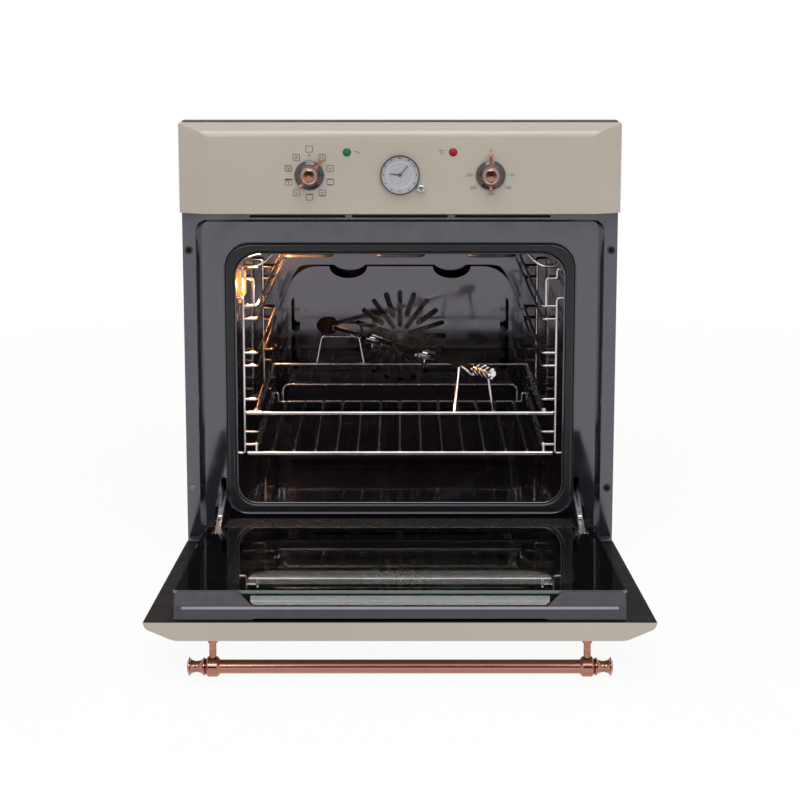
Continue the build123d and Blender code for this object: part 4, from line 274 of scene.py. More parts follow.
def new_finish(name, colour, roughness, metallic=0.0):
    """A material, its node tree and its Principled shader, with plain values set."""
    material = bpy.data.materials.new(name)
    material.use_nodes = True
    tree = material.node_tree
    shader = tree.nodes["Principled BSDF"]
    shader.inputs["Base Color"].default_value = (*colour, 1.0)
    shader.inputs["Roughness"].default_value = roughness
    shader.inputs["Metallic"].default_value = metallic
    return material, tree, shader


def noise(tree, scale, detail=3.0, stretch=(1.0, 1.0, 1.0)):
    """Noise between 0 and 1 in Object coordinates, with its cells stretched by a factor."""
    place = tree.nodes.new("ShaderNodeTexCoord")
    mapping = tree.nodes.new("ShaderNodeMapping")
    mapping.inputs["Scale"].default_value = stretch
    grain = tree.nodes.new("ShaderNodeTexNoise")
    grain.inputs["Scale"].default_value = scale
    grain.inputs["Detail"].default_value = detail
    tree.links.new(place.outputs["Object"], mapping.inputs["Vector"])
    tree.links.new(mapping.outputs["Vector"], grain.inputs["Vector"])
    return grain.outputs["Fac"]


def cells(tree, scale):
    """Outputs of a Voronoi pattern in Object coordinates, such as Color and Distance."""
    place = tree.nodes.new("ShaderNodeTexCoord")
    pattern = tree.nodes.new("ShaderNodeTexVoronoi")
    pattern.inputs["Scale"].default_value = scale
    tree.links.new(place.outputs["Object"], pattern.inputs["Vector"])
    return pattern.outputs


def remap(tree, value, sources, results):
    """Carries a value from one span to another in proportion, held at both ends."""
    scale = tree.nodes.new("ShaderNodeMapRange")
    scale.inputs["From Min"].default_value = sources[0]
    scale.inputs["From Max"].default_value = sources[1]
    scale.inputs["To Min"].default_value = results[0]
    scale.inputs["To Max"].default_value = results[1]
    tree.links.new(value, scale.inputs["Value"])
    return scale.outputs["Result"]


def tint(tree, shader, value, dark, light, span=NOISE_SPAN):
    """Base colour from dark to light as the value crosses a span; returns the ramp."""
    ramp = tree.nodes.new("ShaderNodeValToRGB")
    ramp.color_ramp.elements[0].position = span[0]
    ramp.color_ramp.elements[0].color = (*dark, 1.0)
    ramp.color_ramp.elements[1].position = span[1]
    ramp.color_ramp.elements[1].color = (*light, 1.0)
    tree.links.new(value, ramp.inputs["Fac"])
    tree.links.new(ramp.outputs["Color"], shader.inputs["Base Color"])
    return ramp


def polish(tree, shader, value, smooth, rough):
    """Roughness from smooth to rough as the noise crosses its span."""
    roughness = remap(tree, value, NOISE_SPAN, (smooth, rough))
    tree.links.new(roughness, shader.inputs["Roughness"])


def relief(tree, shader, value, strength, depth):
    """Bump of a depth in metres, scaled by a strength between 0 and 1."""
    bump = tree.nodes.new("ShaderNodeBump")
    bump.inputs["Strength"].default_value = strength
    bump.inputs["Distance"].default_value = depth
    tree.links.new(value, bump.inputs["Height"])
    tree.links.new(bump.outputs["Normal"], shader.inputs["Normal"])


def object_axes(tree):
    """The X, Y and Z outputs of the Object coordinates."""
    place = tree.nodes.new("ShaderNodeTexCoord")
    split = tree.nodes.new("ShaderNodeSeparateXYZ")
    tree.links.new(place.outputs["Object"], split.inputs["Vector"])
    return split.outputs


def square_from_axis(tree, middle_x, middle_z):
    """Squared distance from an axis along Y and its mirror image, in square metres.

    It is (|x| - middle_x) squared, plus (z - middle_z) squared.
    """
    axes = object_axes(tree)
    mirrored = node_math(tree, "ABSOLUTE", axes["X"])
    right = node_math(tree, "SUBTRACT", mirrored, middle_x)
    upward = node_math(tree, "SUBTRACT", axes["Z"], middle_z)
    wide = node_math(tree, "MULTIPLY", right, right)
    return node_math(tree, "MULTIPLY_ADD", upward, upward, wide)


def dress(finish, *nodes):
    """Puts a finish in the material slots of CAD nodes."""
    for node in nodes:
        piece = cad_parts[node]
        for place in piece.material_slots:
            place.material = finish
        if not piece.material_slots:
            piece.data.materials.append(finish)


print("a finish changes over the noise span", NOISE_SPAN)

# %% [markdown]
# ## Enamel
# The panel and the door's skin carry a champagne enamel: a satin colour under a thin
# clear glaze, with a faint orange-peel. The frame and the cavity are fired black enamel,
# which is glass on steel, so it mirrors like glass and has tiny pits and pale specks.
# The door's tub is a satin black, and the hidden bracket and rails are plainly painted.

# %% Champagne enamel
cream, tree, shader = new_finish("champagne_enamel", (0.46, 0.41, 0.34), 0.36)
tint(tree, shader, noise(tree, 5.0, 2.0), (0.380, 0.335, 0.280), (0.410, 0.364, 0.305))
polish(tree, shader, noise(tree, 60.0), 0.30, 0.38)
relief(tree, shader, noise(tree, 450.0, 2.0), 0.05, 0.0003)
shader.inputs["Coat Weight"].default_value = 0.35
shader.inputs["Coat Roughness"].default_value = 0.12
dress(cream, "control_panel", "door_skin")

# %% Black enamel
black, tree, shader = new_finish("black_enamel", (0.006, 0.005, 0.008), 0.07)
tint(tree, shader, noise(tree, 1500.0, 1.0), (0.004, 0.0035, 0.006), (0.018, 0.018, 0.021),
     (0.68, 0.84))
polish(tree, shader, noise(tree, 30.0), 0.05, 0.12)
relief(tree, shader, noise(tree, 60.0, 2.0), 0.03, 0.0006)
shader.inputs["IOR"].default_value = 2.05
shader.inputs["Specular Tint"].default_value = (0.90, 0.87, 1.0, 1.0)
shader.inputs["Coat Weight"].default_value = 0.3
shader.inputs["Coat Roughness"].default_value = 0.02
shader.inputs["Coat IOR"].default_value = 1.5
dress(black, "front_frame", "cavity_liner", "fan_cover", "cover_screws")

# %% Satin black of the door's inside and of the spit's socket
satin, tree, shader = new_finish("satin_black", (0.006, 0.006, 0.009), 0.4)
tint(tree, shader, noise(tree, 40.0), (0.005, 0.005, 0.007), (0.009, 0.009, 0.012))
polish(tree, shader, noise(tree, 25.0), 0.36, 0.46)
relief(tree, shader, noise(tree, 500.0, 2.0), 0.05, 0.0002)
shader.inputs["Specular IOR Level"].default_value = 0.05
dress(satin, "door_tub", "spit_socket")

# %% Black paint on the bracket, the glass rails and the air duct
paint, tree, shader = new_finish("black_paint", (0.02, 0.02, 0.02), 0.5)
tint(tree, shader, noise(tree, 90.0), (0.016, 0.016, 0.018), (0.030, 0.030, 0.032))
relief(tree, shader, noise(tree, 1200.0, 2.0), 0.15, 0.0002)
dress(paint, "panel_bracket", "glass_rails", "air_duct")
print("enamels", cream.name, black.name, "and blacks", satin.name, paint.name)

# %% [markdown]
# ## Metals
# Zinc-plated sheet shows pale crystals, so its colour follows a cell pattern. The wires
# are bright chrome that heat has tinted a little. The handle and pointers are antique
# copper: brushed bright on the open faces, with brown patina left in streaks.

# %% Zinc-plated sheet
zinc, tree, shader = new_finish("zinc_sheet", (0.55, 0.56, 0.58), 0.35, 1.0)
crystal = cells(tree, 130.0)["Color"]
tint(tree, shader, crystal, (0.47, 0.48, 0.50), (0.56, 0.57, 0.59), (0.1, 0.9))
polish(tree, shader, noise(tree, 45.0), 0.28, 0.46)
relief(tree, shader, noise(tree, 300.0, 3.0), 0.06, 0.0003)
dress(zinc, "base_panel", "top_cover", "side_panels", "rear_panel", "hinge_brackets",
      "door_cheeks", "blower_housing", "lamp_housing")

# %% Plated strut
strut_zinc, tree, shader = new_finish("plated_strut", (0.62, 0.62, 0.62), 0.3, 1.0)
tint(tree, shader, noise(tree, 120.0), (0.50, 0.50, 0.50), (0.72, 0.72, 0.72))
polish(tree, shader, noise(tree, 400.0), 0.22, 0.38)
relief(tree, shader, noise(tree, 900.0, 2.0, (1.0, 0.1, 1.0)), 0.1, 0.0002)
dress(strut_zinc, "struts")

# %% Chromed wire
chrome, tree, shader = new_finish("chromed_wire", (0.60, 0.59, 0.60), 0.12, 1.0)
tint(tree, shader, noise(tree, 25.0), (0.46, 0.42, 0.40), (0.66, 0.65, 0.68))
polish(tree, shader, noise(tree, 200.0), 0.07, 0.16)
relief(tree, shader, noise(tree, 700.0, 2.0), 0.05, 0.0002)
dress(chrome, "side_racks", "wire_shelf", "spit_frame", "spit_forks")

# %% Polished steel
steel, tree, shader = new_finish("polished_steel", (0.74, 0.74, 0.75), 0.14, 1.0)
tint(tree, shader, noise(tree, 60.0), (0.64, 0.64, 0.65), (0.82, 0.82, 0.83))
polish(tree, shader, noise(tree, 500.0), 0.07, 0.16)
relief(tree, shader, noise(tree, 1500.0, 1.0), 0.04, 0.0001)
dress(steel, "spit_rod", "spit_handle", "hinge_pins", "clock_knob")

# %% Antique copper
copper, tree, shader = new_finish("antique_copper", (0.50, 0.25, 0.18), 0.2, 1.0)
streaks = noise(tree, 240.0, 2.0, (0.004, 1.0, 1.0))
tint(tree, shader, streaks, (0.33, 0.15, 0.11), (0.47, 0.23, 0.175))
polish(tree, shader, noise(tree, 60.0), 0.14, 0.20)
relief(tree, shader, noise(tree, 200.0, 2.0), 0.03, 0.0002)
dress(copper, "selector_pointer", "thermostat_pointer", "handle_bar", "handle_posts",
      "handle_finials")

# %% Heater rods
heater, tree, shader = new_finish("heater_sheath", (0.10, 0.10, 0.11), 0.5, 0.8)
tint(tree, shader, noise(tree, 40.0), (0.06, 0.055, 0.06), (0.16, 0.15, 0.17))
relief(tree, shader, noise(tree, 1200.0), 0.2, 0.0002)
dress(heater, "grill_element", "ring_element", "bottom_element")

# %% Fans and motors
# The fan steel is far darker than bare steel: partly a dark metal and partly painted shade of the
# chamber seen through the cover's slots.
fan_steel, tree, shader = new_finish("fan_steel", (0.10, 0.10, 0.10), 0.35, 1.0)
tint(tree, shader, noise(tree, 80.0), (0.07, 0.065, 0.06), (0.14, 0.135, 0.13))
polish(tree, shader, noise(tree, 300.0), 0.28, 0.45)
dress(fan_steel, "convection_fan", "blower_rotor")
motor, tree, shader = new_finish("motor_body", (0.05, 0.05, 0.05), 0.55, 0.5)
tint(tree, shader, noise(tree, 150.0), (0.03, 0.03, 0.03), (0.09, 0.09, 0.09))
relief(tree, shader, noise(tree, 900.0), 0.3, 0.0003)
dress(motor, "fan_motor", "spit_motor")
print("metals", zinc.name, chrome.name, steel.name, copper.name, heater.name)

# %% [markdown]
# ## Plastics, seal and blanket
# The trims and the clock's hands are black plastic with a satin grain, and the knobs and
# the moulding on the door are polished. The seal is rubber over a woven core, and the
# blanket is pressed glass fibre, pale and matt.

# %% Black plastic
plastic, tree, shader = new_finish("black_plastic", (0.012, 0.012, 0.014), 0.3)
tint(tree, shader, noise(tree, 300.0), (0.009, 0.009, 0.011), (0.018, 0.018, 0.020))
polish(tree, shader, noise(tree, 70.0), 0.2, 0.32)
relief(tree, shader, noise(tree, 1800.0, 2.0), 0.06, 0.0002)
dress(plastic, "lower_trim", "screw_bushes", "terminal_box", "hour_hand", "minute_hand")

# %% Polished black plastic of the knobs and the door's moulding
gloss_black, tree, shader = new_finish("gloss_black", (0.010, 0.009, 0.012), 0.12)
tint(tree, shader, noise(tree, 200.0), (0.008, 0.007, 0.010), (0.014, 0.013, 0.017))
polish(tree, shader, noise(tree, 70.0), 0.14, 0.22)
shader.inputs["IOR"].default_value = 1.75
shader.inputs["Specular Tint"].default_value = (0.93, 0.90, 1.0, 1.0)
dress(gloss_black, "selector_knob", "thermostat_knob", "top_moulding")

# %% Moulded switch bodies
ivory, tree, shader = new_finish("switch_moulding", (0.6, 0.56, 0.48), 0.45)
tint(tree, shader, noise(tree, 100.0), (0.55, 0.51, 0.43), (0.64, 0.60, 0.52))
relief(tree, shader, noise(tree, 1500.0), 0.1, 0.0002)
dress(ivory, "selector_switch", "thermostat")

# %% Seal
seal, tree, shader = new_finish("cored_seal", (0.008, 0.008, 0.01), 0.3)
braid = cells(tree, 700.0)["Distance"]
tint(tree, shader, braid, (0.009, 0.008, 0.012), (0.004, 0.004, 0.006), (0.1, 0.7))
relief(tree, shader, braid, 0.15, 0.0004)
dress(seal, "cavity_gasket")

# %% Glass fibre
blanket, tree, shader = new_finish("glass_fibre", (0.7, 0.67, 0.58), 0.95)
tint(tree, shader, noise(tree, 35.0, 6.0, (1.0, 0.3, 1.0)), (0.55, 0.52, 0.43), (0.78, 0.76, 0.68))
relief(tree, shader, noise(tree, 420.0, 6.0, (1.0, 0.25, 1.0)), 0.6, 0.002)
dress(blanket, "insulation")
print("soft finishes", seal.name, blanket.name)

# %% [markdown]
# ## Glass
# The door has three panes, and its black tub is seen through the inner one, so both
# outer panes are tinted but clear. Their ground edges are duller and green, so faces that
# don't look along the glass get that colour: we read each face's normal in Object space
# and compare it with the glass's own. A high index of refraction gives a strong mirror.

# %% Door glass
DOOR_OPEN = math.radians(85.2)
OUTWARD = (0.0, -math.cos(DOOR_OPEN), -math.sin(DOOR_OPEN))
BROAD_FACE = 0.75


def glass_with_edge(name, face, edge, index):
    """Tinted clear glass on the broad faces, and a duller green on the ground edges."""
    material, tree, shader = new_finish(name, face, 0.015)
    place = tree.nodes.new("ShaderNodeTexCoord")
    facing = tree.nodes.new("ShaderNodeVectorMath")
    facing.operation = "DOT_PRODUCT"
    facing.inputs[1].default_value = OUTWARD
    tree.links.new(place.outputs["Normal"], facing.inputs[0])
    flat = node_math(tree, "ABSOLUTE", facing.outputs["Value"])
    tint(tree, shader, flat, edge, face, (0.6, 0.9))
    clearness = node_math(tree, "GREATER_THAN", flat, BROAD_FACE)
    tree.links.new(clearness, shader.inputs["Transmission Weight"])
    polish(tree, shader, noise(tree, 3.0), 0.0, 0.01)
    shader.inputs["IOR"].default_value = index
    return material


coated = glass_with_edge("coated_glass", (0.80, 0.79, 0.76), (0.10, 0.14, 0.12), 1.6)
dress(coated, "inner_glass", "outer_window")

# %% Clear glass
clear, tree, shader = new_finish("clear_glass", (0.93, 0.97, 0.95), 0.02)
polish(tree, shader, noise(tree, 8.0), 0.01, 0.04)
shader.inputs["Transmission Weight"].default_value = 1.0
shader.inputs["IOR"].default_value = 1.48
dress(clear, "middle_glass")

# %% Clock glass
watch, tree, shader = new_finish("watch_glass", (0.9, 0.92, 0.95), 0.03)
polish(tree, shader, noise(tree, 8.0), 0.02, 0.05)
shader.inputs["Alpha"].default_value = 0.04
dress(watch, "clock_glass")

# %% Lamp glass, lit from behind
lit, tree, shader = new_finish("lit_glass", (1.0, 0.8, 0.5), 0.15)
tint(tree, shader, noise(tree, 60.0), (0.020, 0.010, 0.004), (0.035, 0.018, 0.007))
relief(tree, shader, noise(tree, 400.0), 0.3, 0.0005)
shader.inputs["Emission Color"].default_value = (1.0, 0.36, 0.09, 1.0)
shader.inputs["Emission Strength"].default_value = 1.1
dress(lit, "lamp_lens", "lamp_bulb")
print("glasses", coated.name, clear.name, lit.name)

# %% [markdown]
# ## Pilot lamps
# One CAD node holds both lenses: green on the left and red on the right. Their colour
# follows Object X, which changes sign between them. A weak glow keeps them alive, and
# the colour darkens towards each rim.

# %% Pilot lenses
PILOT_X = 0.0708
PILOT_Z = 0.555
GREEN = (0.0, 0.13, 0.04)
RED = (0.30, 0.001, 0.008)
DARK_RIM = (0.0036 ** 2, 0.0052 ** 2)
RIM_SHADE = 0.12
lens, tree, shader = new_finish("pilot_lens", (0.1, 0.1, 0.1), 0.12)
right_side = node_math(tree, "GREATER_THAN", object_axes(tree)["X"], 0.0)
pilot_ramp = tint(tree, shader, right_side, GREEN, RED, (0.4, 0.6))
from_middle = square_from_axis(tree, PILOT_X, PILOT_Z)
shaded = tree.nodes.new("ShaderNodeVectorMath")
shaded.operation = "SCALE"
tree.links.new(pilot_ramp.outputs["Color"], shaded.inputs[0])
tree.links.new(remap(tree, from_middle, DARK_RIM, (1.0, RIM_SHADE)), shaded.inputs["Scale"])
tree.links.new(shaded.outputs[0], shader.inputs["Base Color"])
tree.links.new(shaded.outputs[0], shader.inputs["Emission Color"])
shader.inputs["Emission Strength"].default_value = 0.15
shader.inputs["Specular IOR Level"].default_value = 0.15
shader.inputs["Coat Weight"].default_value = 0.1
shader.inputs["Coat Roughness"].default_value = 0.03
dress(lens, "indicator_lamps")
print("pilot lenses at", PILOT_X, "m to each side")

# %% Clock case
CLOCK_Z = 525.0
BEZEL_R = 24.8
dial_metal, tree, shader = new_finish("dial_silver", (0.42, 0.42, 0.43), 0.5)
from_middle = square_from_axis(tree, 0.0, CLOCK_Z * MM)
# Beyond BEZEL_R the case turns nearly black: painted shade of the recess round the sunken dial.
inside_bezel = node_math(tree, "LESS_THAN", from_middle, (BEZEL_R * MM) ** 2)
tint(tree, shader, inside_bezel, (0.02, 0.02, 0.024), (0.33, 0.33, 0.36), (0.4, 0.6))
polish(tree, shader, noise(tree, 90.0), 0.40, 0.50)
dress(dial_metal, "clock_case")
undressed = [name for name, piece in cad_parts.items()
             if not piece.material_slots or piece.material_slots[0].material is None]
print("nodes without a finish:", undressed)

# %% [markdown]
# ## Signs on the panel
# The signs are printed in a thin brown-grey ink. A texture can't be used and would blur,
# so each line is a strip of real ink, 0.08 mm high, on the face of the panel. A sign is
# a list of strokes in its own small square, and one function lays it where it belongs.

# %% Ink
FACE_Y = -50.0
INK_H = 0.08
INK_SUNK = 0.02
ink, tree, shader = new_finish("sign_ink", (0.05, 0.045, 0.04), 0.55)
tint(tree, shader, noise(tree, 900.0), (0.022, 0.019, 0.017), (0.045, 0.040, 0.036))


def stroke(points, width, ends="cap"):
    """A flat line of ink through (x, z) points: a thin box carried along the path."""
    points = np.asarray(points, float)
    level = np.full(len(points), FACE_Y - INK_H / 2)
    path = np.stack([points[:, 0], level, points[:, 1]], axis=1)
    half, high = width / 2, INK_H / 2 + INK_SUNK
    box = [(-half, -high), (half, -high), (half, high), (-half, high)]
    return carried(path, box, FORWARD, ends)


def arc(centre, radius, start, end, count=24):
    """Points of an arc: centre plus radius times sine and cosine, clockwise from upright."""
    angle = np.radians(np.linspace(start, end, count))
    across = centre[0] + radius * np.sin(angle)
    return np.stack([across, centre[1] + radius * np.cos(angle)], axis=1)


def on_circle(centre, radius, degrees):
    """One point of a circle, at an angle clockwise from upright."""
    return arc(centre, radius, degrees, degrees, 1)[0]


def line(*points):
    """Points along straight runs, three to each run, so that corners stay sharp."""
    points = np.asarray(points, float)
    share = np.array([0.0, 0.08, 0.92])[None, :, None]
    runs = points[:-1, None, :] * (1 - share) + points[1:, None, :] * share
    return np.concatenate([runs.reshape(-1, 2), points[-1:]])


print("one stroke has", len(stroke(line((0, 0), (1, 0)), 0.3)[1]), "faces")

# %% Signs round the selector
BOX_W = 8.8
BOX_H = 8.2
BOX_R = 0.9
LINE_W = 0.75


def box_sign(inside):
    """Strokes of a rounded box, and the sign inside it, in millimetres about its middle."""
    w, h, r = BOX_W / 2, BOX_H / 2, BOX_R
    corners = [((w - r, h - r), 0, 90), ((w - r, r - h), 90, 180), ((r - w, r - h), 180, 270),
               ((r - w, h - r), 270, 360)]
    rim = np.concatenate([arc(c, r, a, b, 5) for c, a, b in corners])
    return [(rim, LINE_W, "loop")] + inside


def blades(count, centre, radius, turn, width=0.7):
    """A fan of straight blades from a centre."""
    angles = turn + np.arange(count) * 360 / count
    return [(line(centre, on_circle(centre, radius, a)), width, "cap") for a in angles]


half_w, half_h = BOX_W / 2, BOX_H / 2
bar_z = half_h - 0.4
top_bar = [(line((-half_w, bar_z), (half_w, bar_z)), 1.0, "cap")]
low_bar = [(line((-half_w, -bar_z), (half_w, -bar_z)), 1.0, "cap")]
teeth = [(-3.6, 3.2), (-2.4, 2.2), (-1.2, 3.2), (0, 2.2), (1.2, 3.2), (2.4, 2.2), (3.6, 3.2)]
zigzag = [(line(*teeth), 0.8, "cap")]
lamp_sign = [(arc((0, 0.8), 1.7, -150, 150, 20), 0.5, "cap"),
             (line((-0.8, -1.7), (0.8, -1.7)), 0.9, "cap")]
three = blades(3, (0, -0.2), 2.4, 60)
four = blades(4, (0, 0), 2.7, 45)
ring_sign = [(arc((0, 0), 3.0, 0, 350, 30), 0.5, "loop")]
frost = [(line((-2.2, 1.6), (2.2, -1.8)), 0.7, "cap"),
         (line((-2.4, -1.9), (0.6, -2.6)), 0.5, "cap")]
signs = [[], lamp_sign, three, top_bar + low_bar, three + low_bar, top_bar, frost,
         three + zigzag + top_bar, three + ring_sign, four]
print("signs round the selector", len(signs))

# %% Lay the signs
KNOB_X = 121.0
KNOB_Z = 524.4
SIGN_REACH = 29.3
TOP_SIGN_REACH = 34.8
SIGN_STEP = 360 / len(signs)
ink_parts = []
for number, inside in enumerate(signs):
    reach = TOP_SIGN_REACH if number == 0 else SIGN_REACH
    middle = on_circle((-KNOB_X, KNOB_Z), reach, SIGN_STEP * number)
    for points, width, ends in box_sign(inside):
        ink_parts.append(stroke(points + middle, width, ends))
print("strokes of ink", len(ink_parts))

# %% Marks round the thermostat, and the signs of the two pilot lamps
MARK_REACH = (22.6, 24.6)
WAVE_HALF = 3.2
WAVE_H = 1.4
PILOT_SIGN_X = 56.5
for degrees in (90, 126, 234, 270):
    inner, outer = [on_circle((KNOB_X, KNOB_Z), reach, degrees) for reach in MARK_REACH]
    ink_parts.append(stroke(line(inner, outer), 0.5))
wave_x = np.linspace(-WAVE_HALF, WAVE_HALF, 24)
wave_z = PILOT_Z / MM - WAVE_H * np.sin(wave_x * np.pi / WAVE_HALF)
ink_parts.append(stroke(np.stack([wave_x - PILOT_SIGN_X, wave_z], axis=1), 0.7))
degree_ring = arc((52.6, 557.8), 1.0, 0, 345, 16)
ink_parts.append(stroke(degree_ring, 0.45, "loop"))
letter_c = arc((56.6, PILOT_Z / MM), 2.6, 50, -230, 24)
ink_parts.append(stroke(letter_c, 0.6))
mesh_piece("panel_signs", ink_parts, ink, "carcass", smooth=False)
print("strokes of ink with the marks", len(ink_parts))

# %% [markdown]
# ## Figures
# Figures come from Blender's own font. A text object would be flat and unmerged, so we
# turn each into a mesh, and only then stand it up on the panel.


# %% Figures of the dials
FIGURE_SIZE = 5.6
FIGURE_REACH = 28.8


def figure(text, place):
    """(points, faces) of a short text, stood upright with its middle at (x, z)."""
    data = bpy.data.curves.new("figure", "FONT")
    data.body = text
    data.size = FIGURE_SIZE
    data.align_x = "CENTER"
    data.align_y = "CENTER"
    data.extrude = INK_H / 2
    data.resolution_u = 3
    holder = bpy.data.objects.new("figure", data)
    bpy.context.scene.collection.objects.link(holder)
    bpy.context.view_layer.update()
    mesh = bpy.data.meshes.new_from_object(holder)
    flat = np.empty(len(mesh.vertices) * 3)
    mesh.vertices.foreach_get("co", flat)
    flat = flat.reshape(-1, 3)
    faces = [list(face.vertices) for face in mesh.polygons]
    bpy.data.objects.remove(holder)
    bpy.data.meshes.remove(mesh)
    level = FACE_Y - INK_H / 2 - flat[:, 2]
    return np.stack([flat[:, 0] + place[0], level, flat[:, 1] + place[1]], axis=1), faces


dial_figures = [("0", 0, 33.0), ("50", 90, FIGURE_REACH), ("100", 126, FIGURE_REACH),
                ("150", 180, 25.0), ("200", 234, FIGURE_REACH), ("250", 270, FIGURE_REACH)]
figure_parts = [figure("0", (-KNOB_X, KNOB_Z + 26.3))]
for text, degrees, reach in dial_figures:
    figure_parts.append(figure(text, on_circle((KNOB_X, KNOB_Z), reach, degrees)))
mesh_piece("panel_figures", figure_parts, ink, "carcass", smooth=False)
print("figures", len(figure_parts))

# %% [markdown]
# ## Clock
# The clock has a brushed silver dial, a dot for each hour near its rim and two at twelve,
# a fine ring inside them, and two straight black hands. A red dot marks the alarm. Only
# the print is missing from the CAD model.

# %% Print of the dial
DIAL_Y = -51.8
PRINT_Y = DIAL_Y - 0.02
DOT_REACH = 22.4
RING_R = 17.5
ALARM_X = -19.4


def disc(x, z, height, radius, sides):
    """A printed dot: a circle carried forward from the dial by its height."""
    path = np.array([[x, PRINT_Y, z], [x, PRINT_Y - height, z]])
    return carried(path, circle(radius, sides), (0.0, 0.0, 1.0))


dial_parts = []
for hour in range(12):
    spot = on_circle((0, CLOCK_Z), DOT_REACH, 30 * hour)
    for shift in (-1.0, 1.0) if hour == 0 else (0.0,):
        dial_parts.append(disc(spot[0] + shift, spot[1], 0.10, 0.95, 12))
mesh_piece("dial_dots", dial_parts, plastic, "carcass")
ring_path = arc((0, CLOCK_Z), RING_R, 0, 354, 60)
ring_level = np.full(len(ring_path), DIAL_Y - 0.04)
ring_points = np.stack([ring_path[:, 0], ring_level, ring_path[:, 1]], axis=1)
pale, tree, shader = new_finish("pale_print", (0.72, 0.72, 0.74), 0.4)
tint(tree, shader, noise(tree, 300.0), (0.66, 0.66, 0.69), (0.75, 0.75, 0.77))
dial_ring = carried(ring_points, circle(0.22, 6), FORWARD, "loop")
mesh_piece("dial_ring", [dial_ring], pale, "carcass")
red, tree, shader = new_finish("red_print", (0.5, 0.01, 0.02), 0.4)
tint(tree, shader, noise(tree, 500.0), (0.42, 0.01, 0.02), (0.58, 0.015, 0.03))
alarm_dot = disc(ALARM_X, CLOCK_Z, 0.12, 0.6, 10)
mesh_piece("alarm_dot", [alarm_dot], red, "carcass")
print("dots", len(dial_parts))

# %% [markdown]
# ## Mouth
# The lip of the mouth and the outer rim of the seal's channel are rolled, which shows as
# two fine bright lines. Each is a bead carried along an outline of straight runs joined by
# quarter circles.


# %% Outline with round corners
def outline(half_w, low, top, low_r, top_r, y):
    """Points round a mouth: four quarter circles, in order, joined by the runs between."""
    corners = [((half_w - top_r, top - top_r), top_r, 0),
               ((half_w - low_r, low + low_r), low_r, 90),
               ((low_r - half_w, low + low_r), low_r, 180),
               ((top_r - half_w, top - top_r), top_r, 270)]
    turns = [arc(c, r, a, a + 90, 13) for c, r, a in corners]
    flat = np.concatenate(turns)
    return np.stack([flat[:, 0], np.full(len(flat), y), flat[:, 1]], axis=1)


lip = outline(227.0, 58.0, 411.0, 28.0, 34.0, 7.9)
rim = outline(242.2, 42.9, 426.2, 29.5, 35.5, 8.0)
for name, path, bead_r in (("mouth_lip", lip, 0.9), ("channel_rim", rim, 0.8)):
    bead = carried(path, circle(bead_r, 10), FORWARD, "loop")
    mesh_piece(name, [bead], black, "carcass")
print("mouth outline", len(lip), "points")

# %% [markdown]
# ## Wires near the roof
# Two bent wires beside the roof hold the racks' upper ends. Each is one round wire: it
# leaves the wall, rises in a slope to the roof and ends there, a hand's width behind the
# mouth. Their bends are part of the path, which is a smooth curve through a few points.


# %% Smooth path
def smooth_path(points, count=12):
    """Catmull-Rom path: between two points, a cubic whose slopes come from their neighbours."""
    points = np.asarray(points, float)
    before = 2 * points[:1] - points[1:2]
    after = 2 * points[-1:] - points[-2:-1]
    padded = np.concatenate([before, points, after])
    a, b, c, d = padded[:-3, None], padded[1:-2, None], padded[2:-1, None], padded[3:, None]
    t = np.linspace(0, 1, count, endpoint=False)[None, :, None]
    curve = 0.5 * (2 * b + (c - a) * t + (2 * a - 5 * b + 4 * c - d) * t ** 2
                   + (3 * b - a - 3 * c + d) * t ** 3)
    return np.concatenate([curve.reshape(-1, 3), points[-1:]])


WIRE_R = 1.8
WIRE_Y = 30.0
WIRE_BENDS = [(216.5, 391), (199, 391), (186, 398), (177, 407), (171, 408)]
holder_parts = []
for side in (-1, 1):
    wire = smooth_path([(side * x, WIRE_Y, z) for x, z in WIRE_BENDS])
    holder_parts.append(carried(wire, circle(WIRE_R, 12), (0.0, 1.0, 0.0)))
mesh_piece("roof_wires", holder_parts, chrome, "carcass")
print("roof wires", len(holder_parts))

# %% [markdown]
# ## Screws
# A pan-head screw is a turned profile with a dark cross laid on it: the cross is painted
# shade, in place of a recessed cross. Such screws hold the casing's cover, sides and rear
# sheet. A grey cap and three black screws close the holes of the flange. One function
# turns them all.


# %% Turned head
def two_across(direction):
    """Two unit directions, at right angles to the given one and to each other."""
    first = np.cross(direction, (0.3, 0.5, 0.8))
    first = first / np.linalg.norm(first)
    return first, np.cross(direction, first)


def turned(centre, direction, profile, sides=24):
    """Surface of revolution: each (along, radius) pair becomes a ring round the direction."""
    direction = np.asarray(direction, float)
    first, second = two_across(direction)
    angle = np.arange(sides) * 2 * np.pi / sides
    ring = np.cos(angle)[:, None] * first + np.sin(angle)[:, None] * second
    profile = np.asarray(profile, float)
    points = (np.asarray(centre, float) + profile[:, 0, None, None] * direction
              + profile[:, 1, None, None] * ring)
    faces = grid_faces(len(profile), sides)
    faces.append(list(range(sides))[::-1])
    faces.append([(len(profile) - 1) * sides + k for k in range(sides)])
    return points.reshape(-1, 3), faces


def painted_cross_shade(centre, direction, size):
    """Two dark bars laid on a head, a hair over it: painted shade of a cross recess that isn't
    cut.
    """
    direction = np.asarray(direction, float)
    bar = [(-0.4, -0.06), (0.4, -0.06), (0.4, 0.06), (-0.4, 0.06)]
    paths = [np.stack([centre - along * size, centre + along * size])
             for along in two_across(direction)]
    return [carried(path, bar, direction) for path in paths]


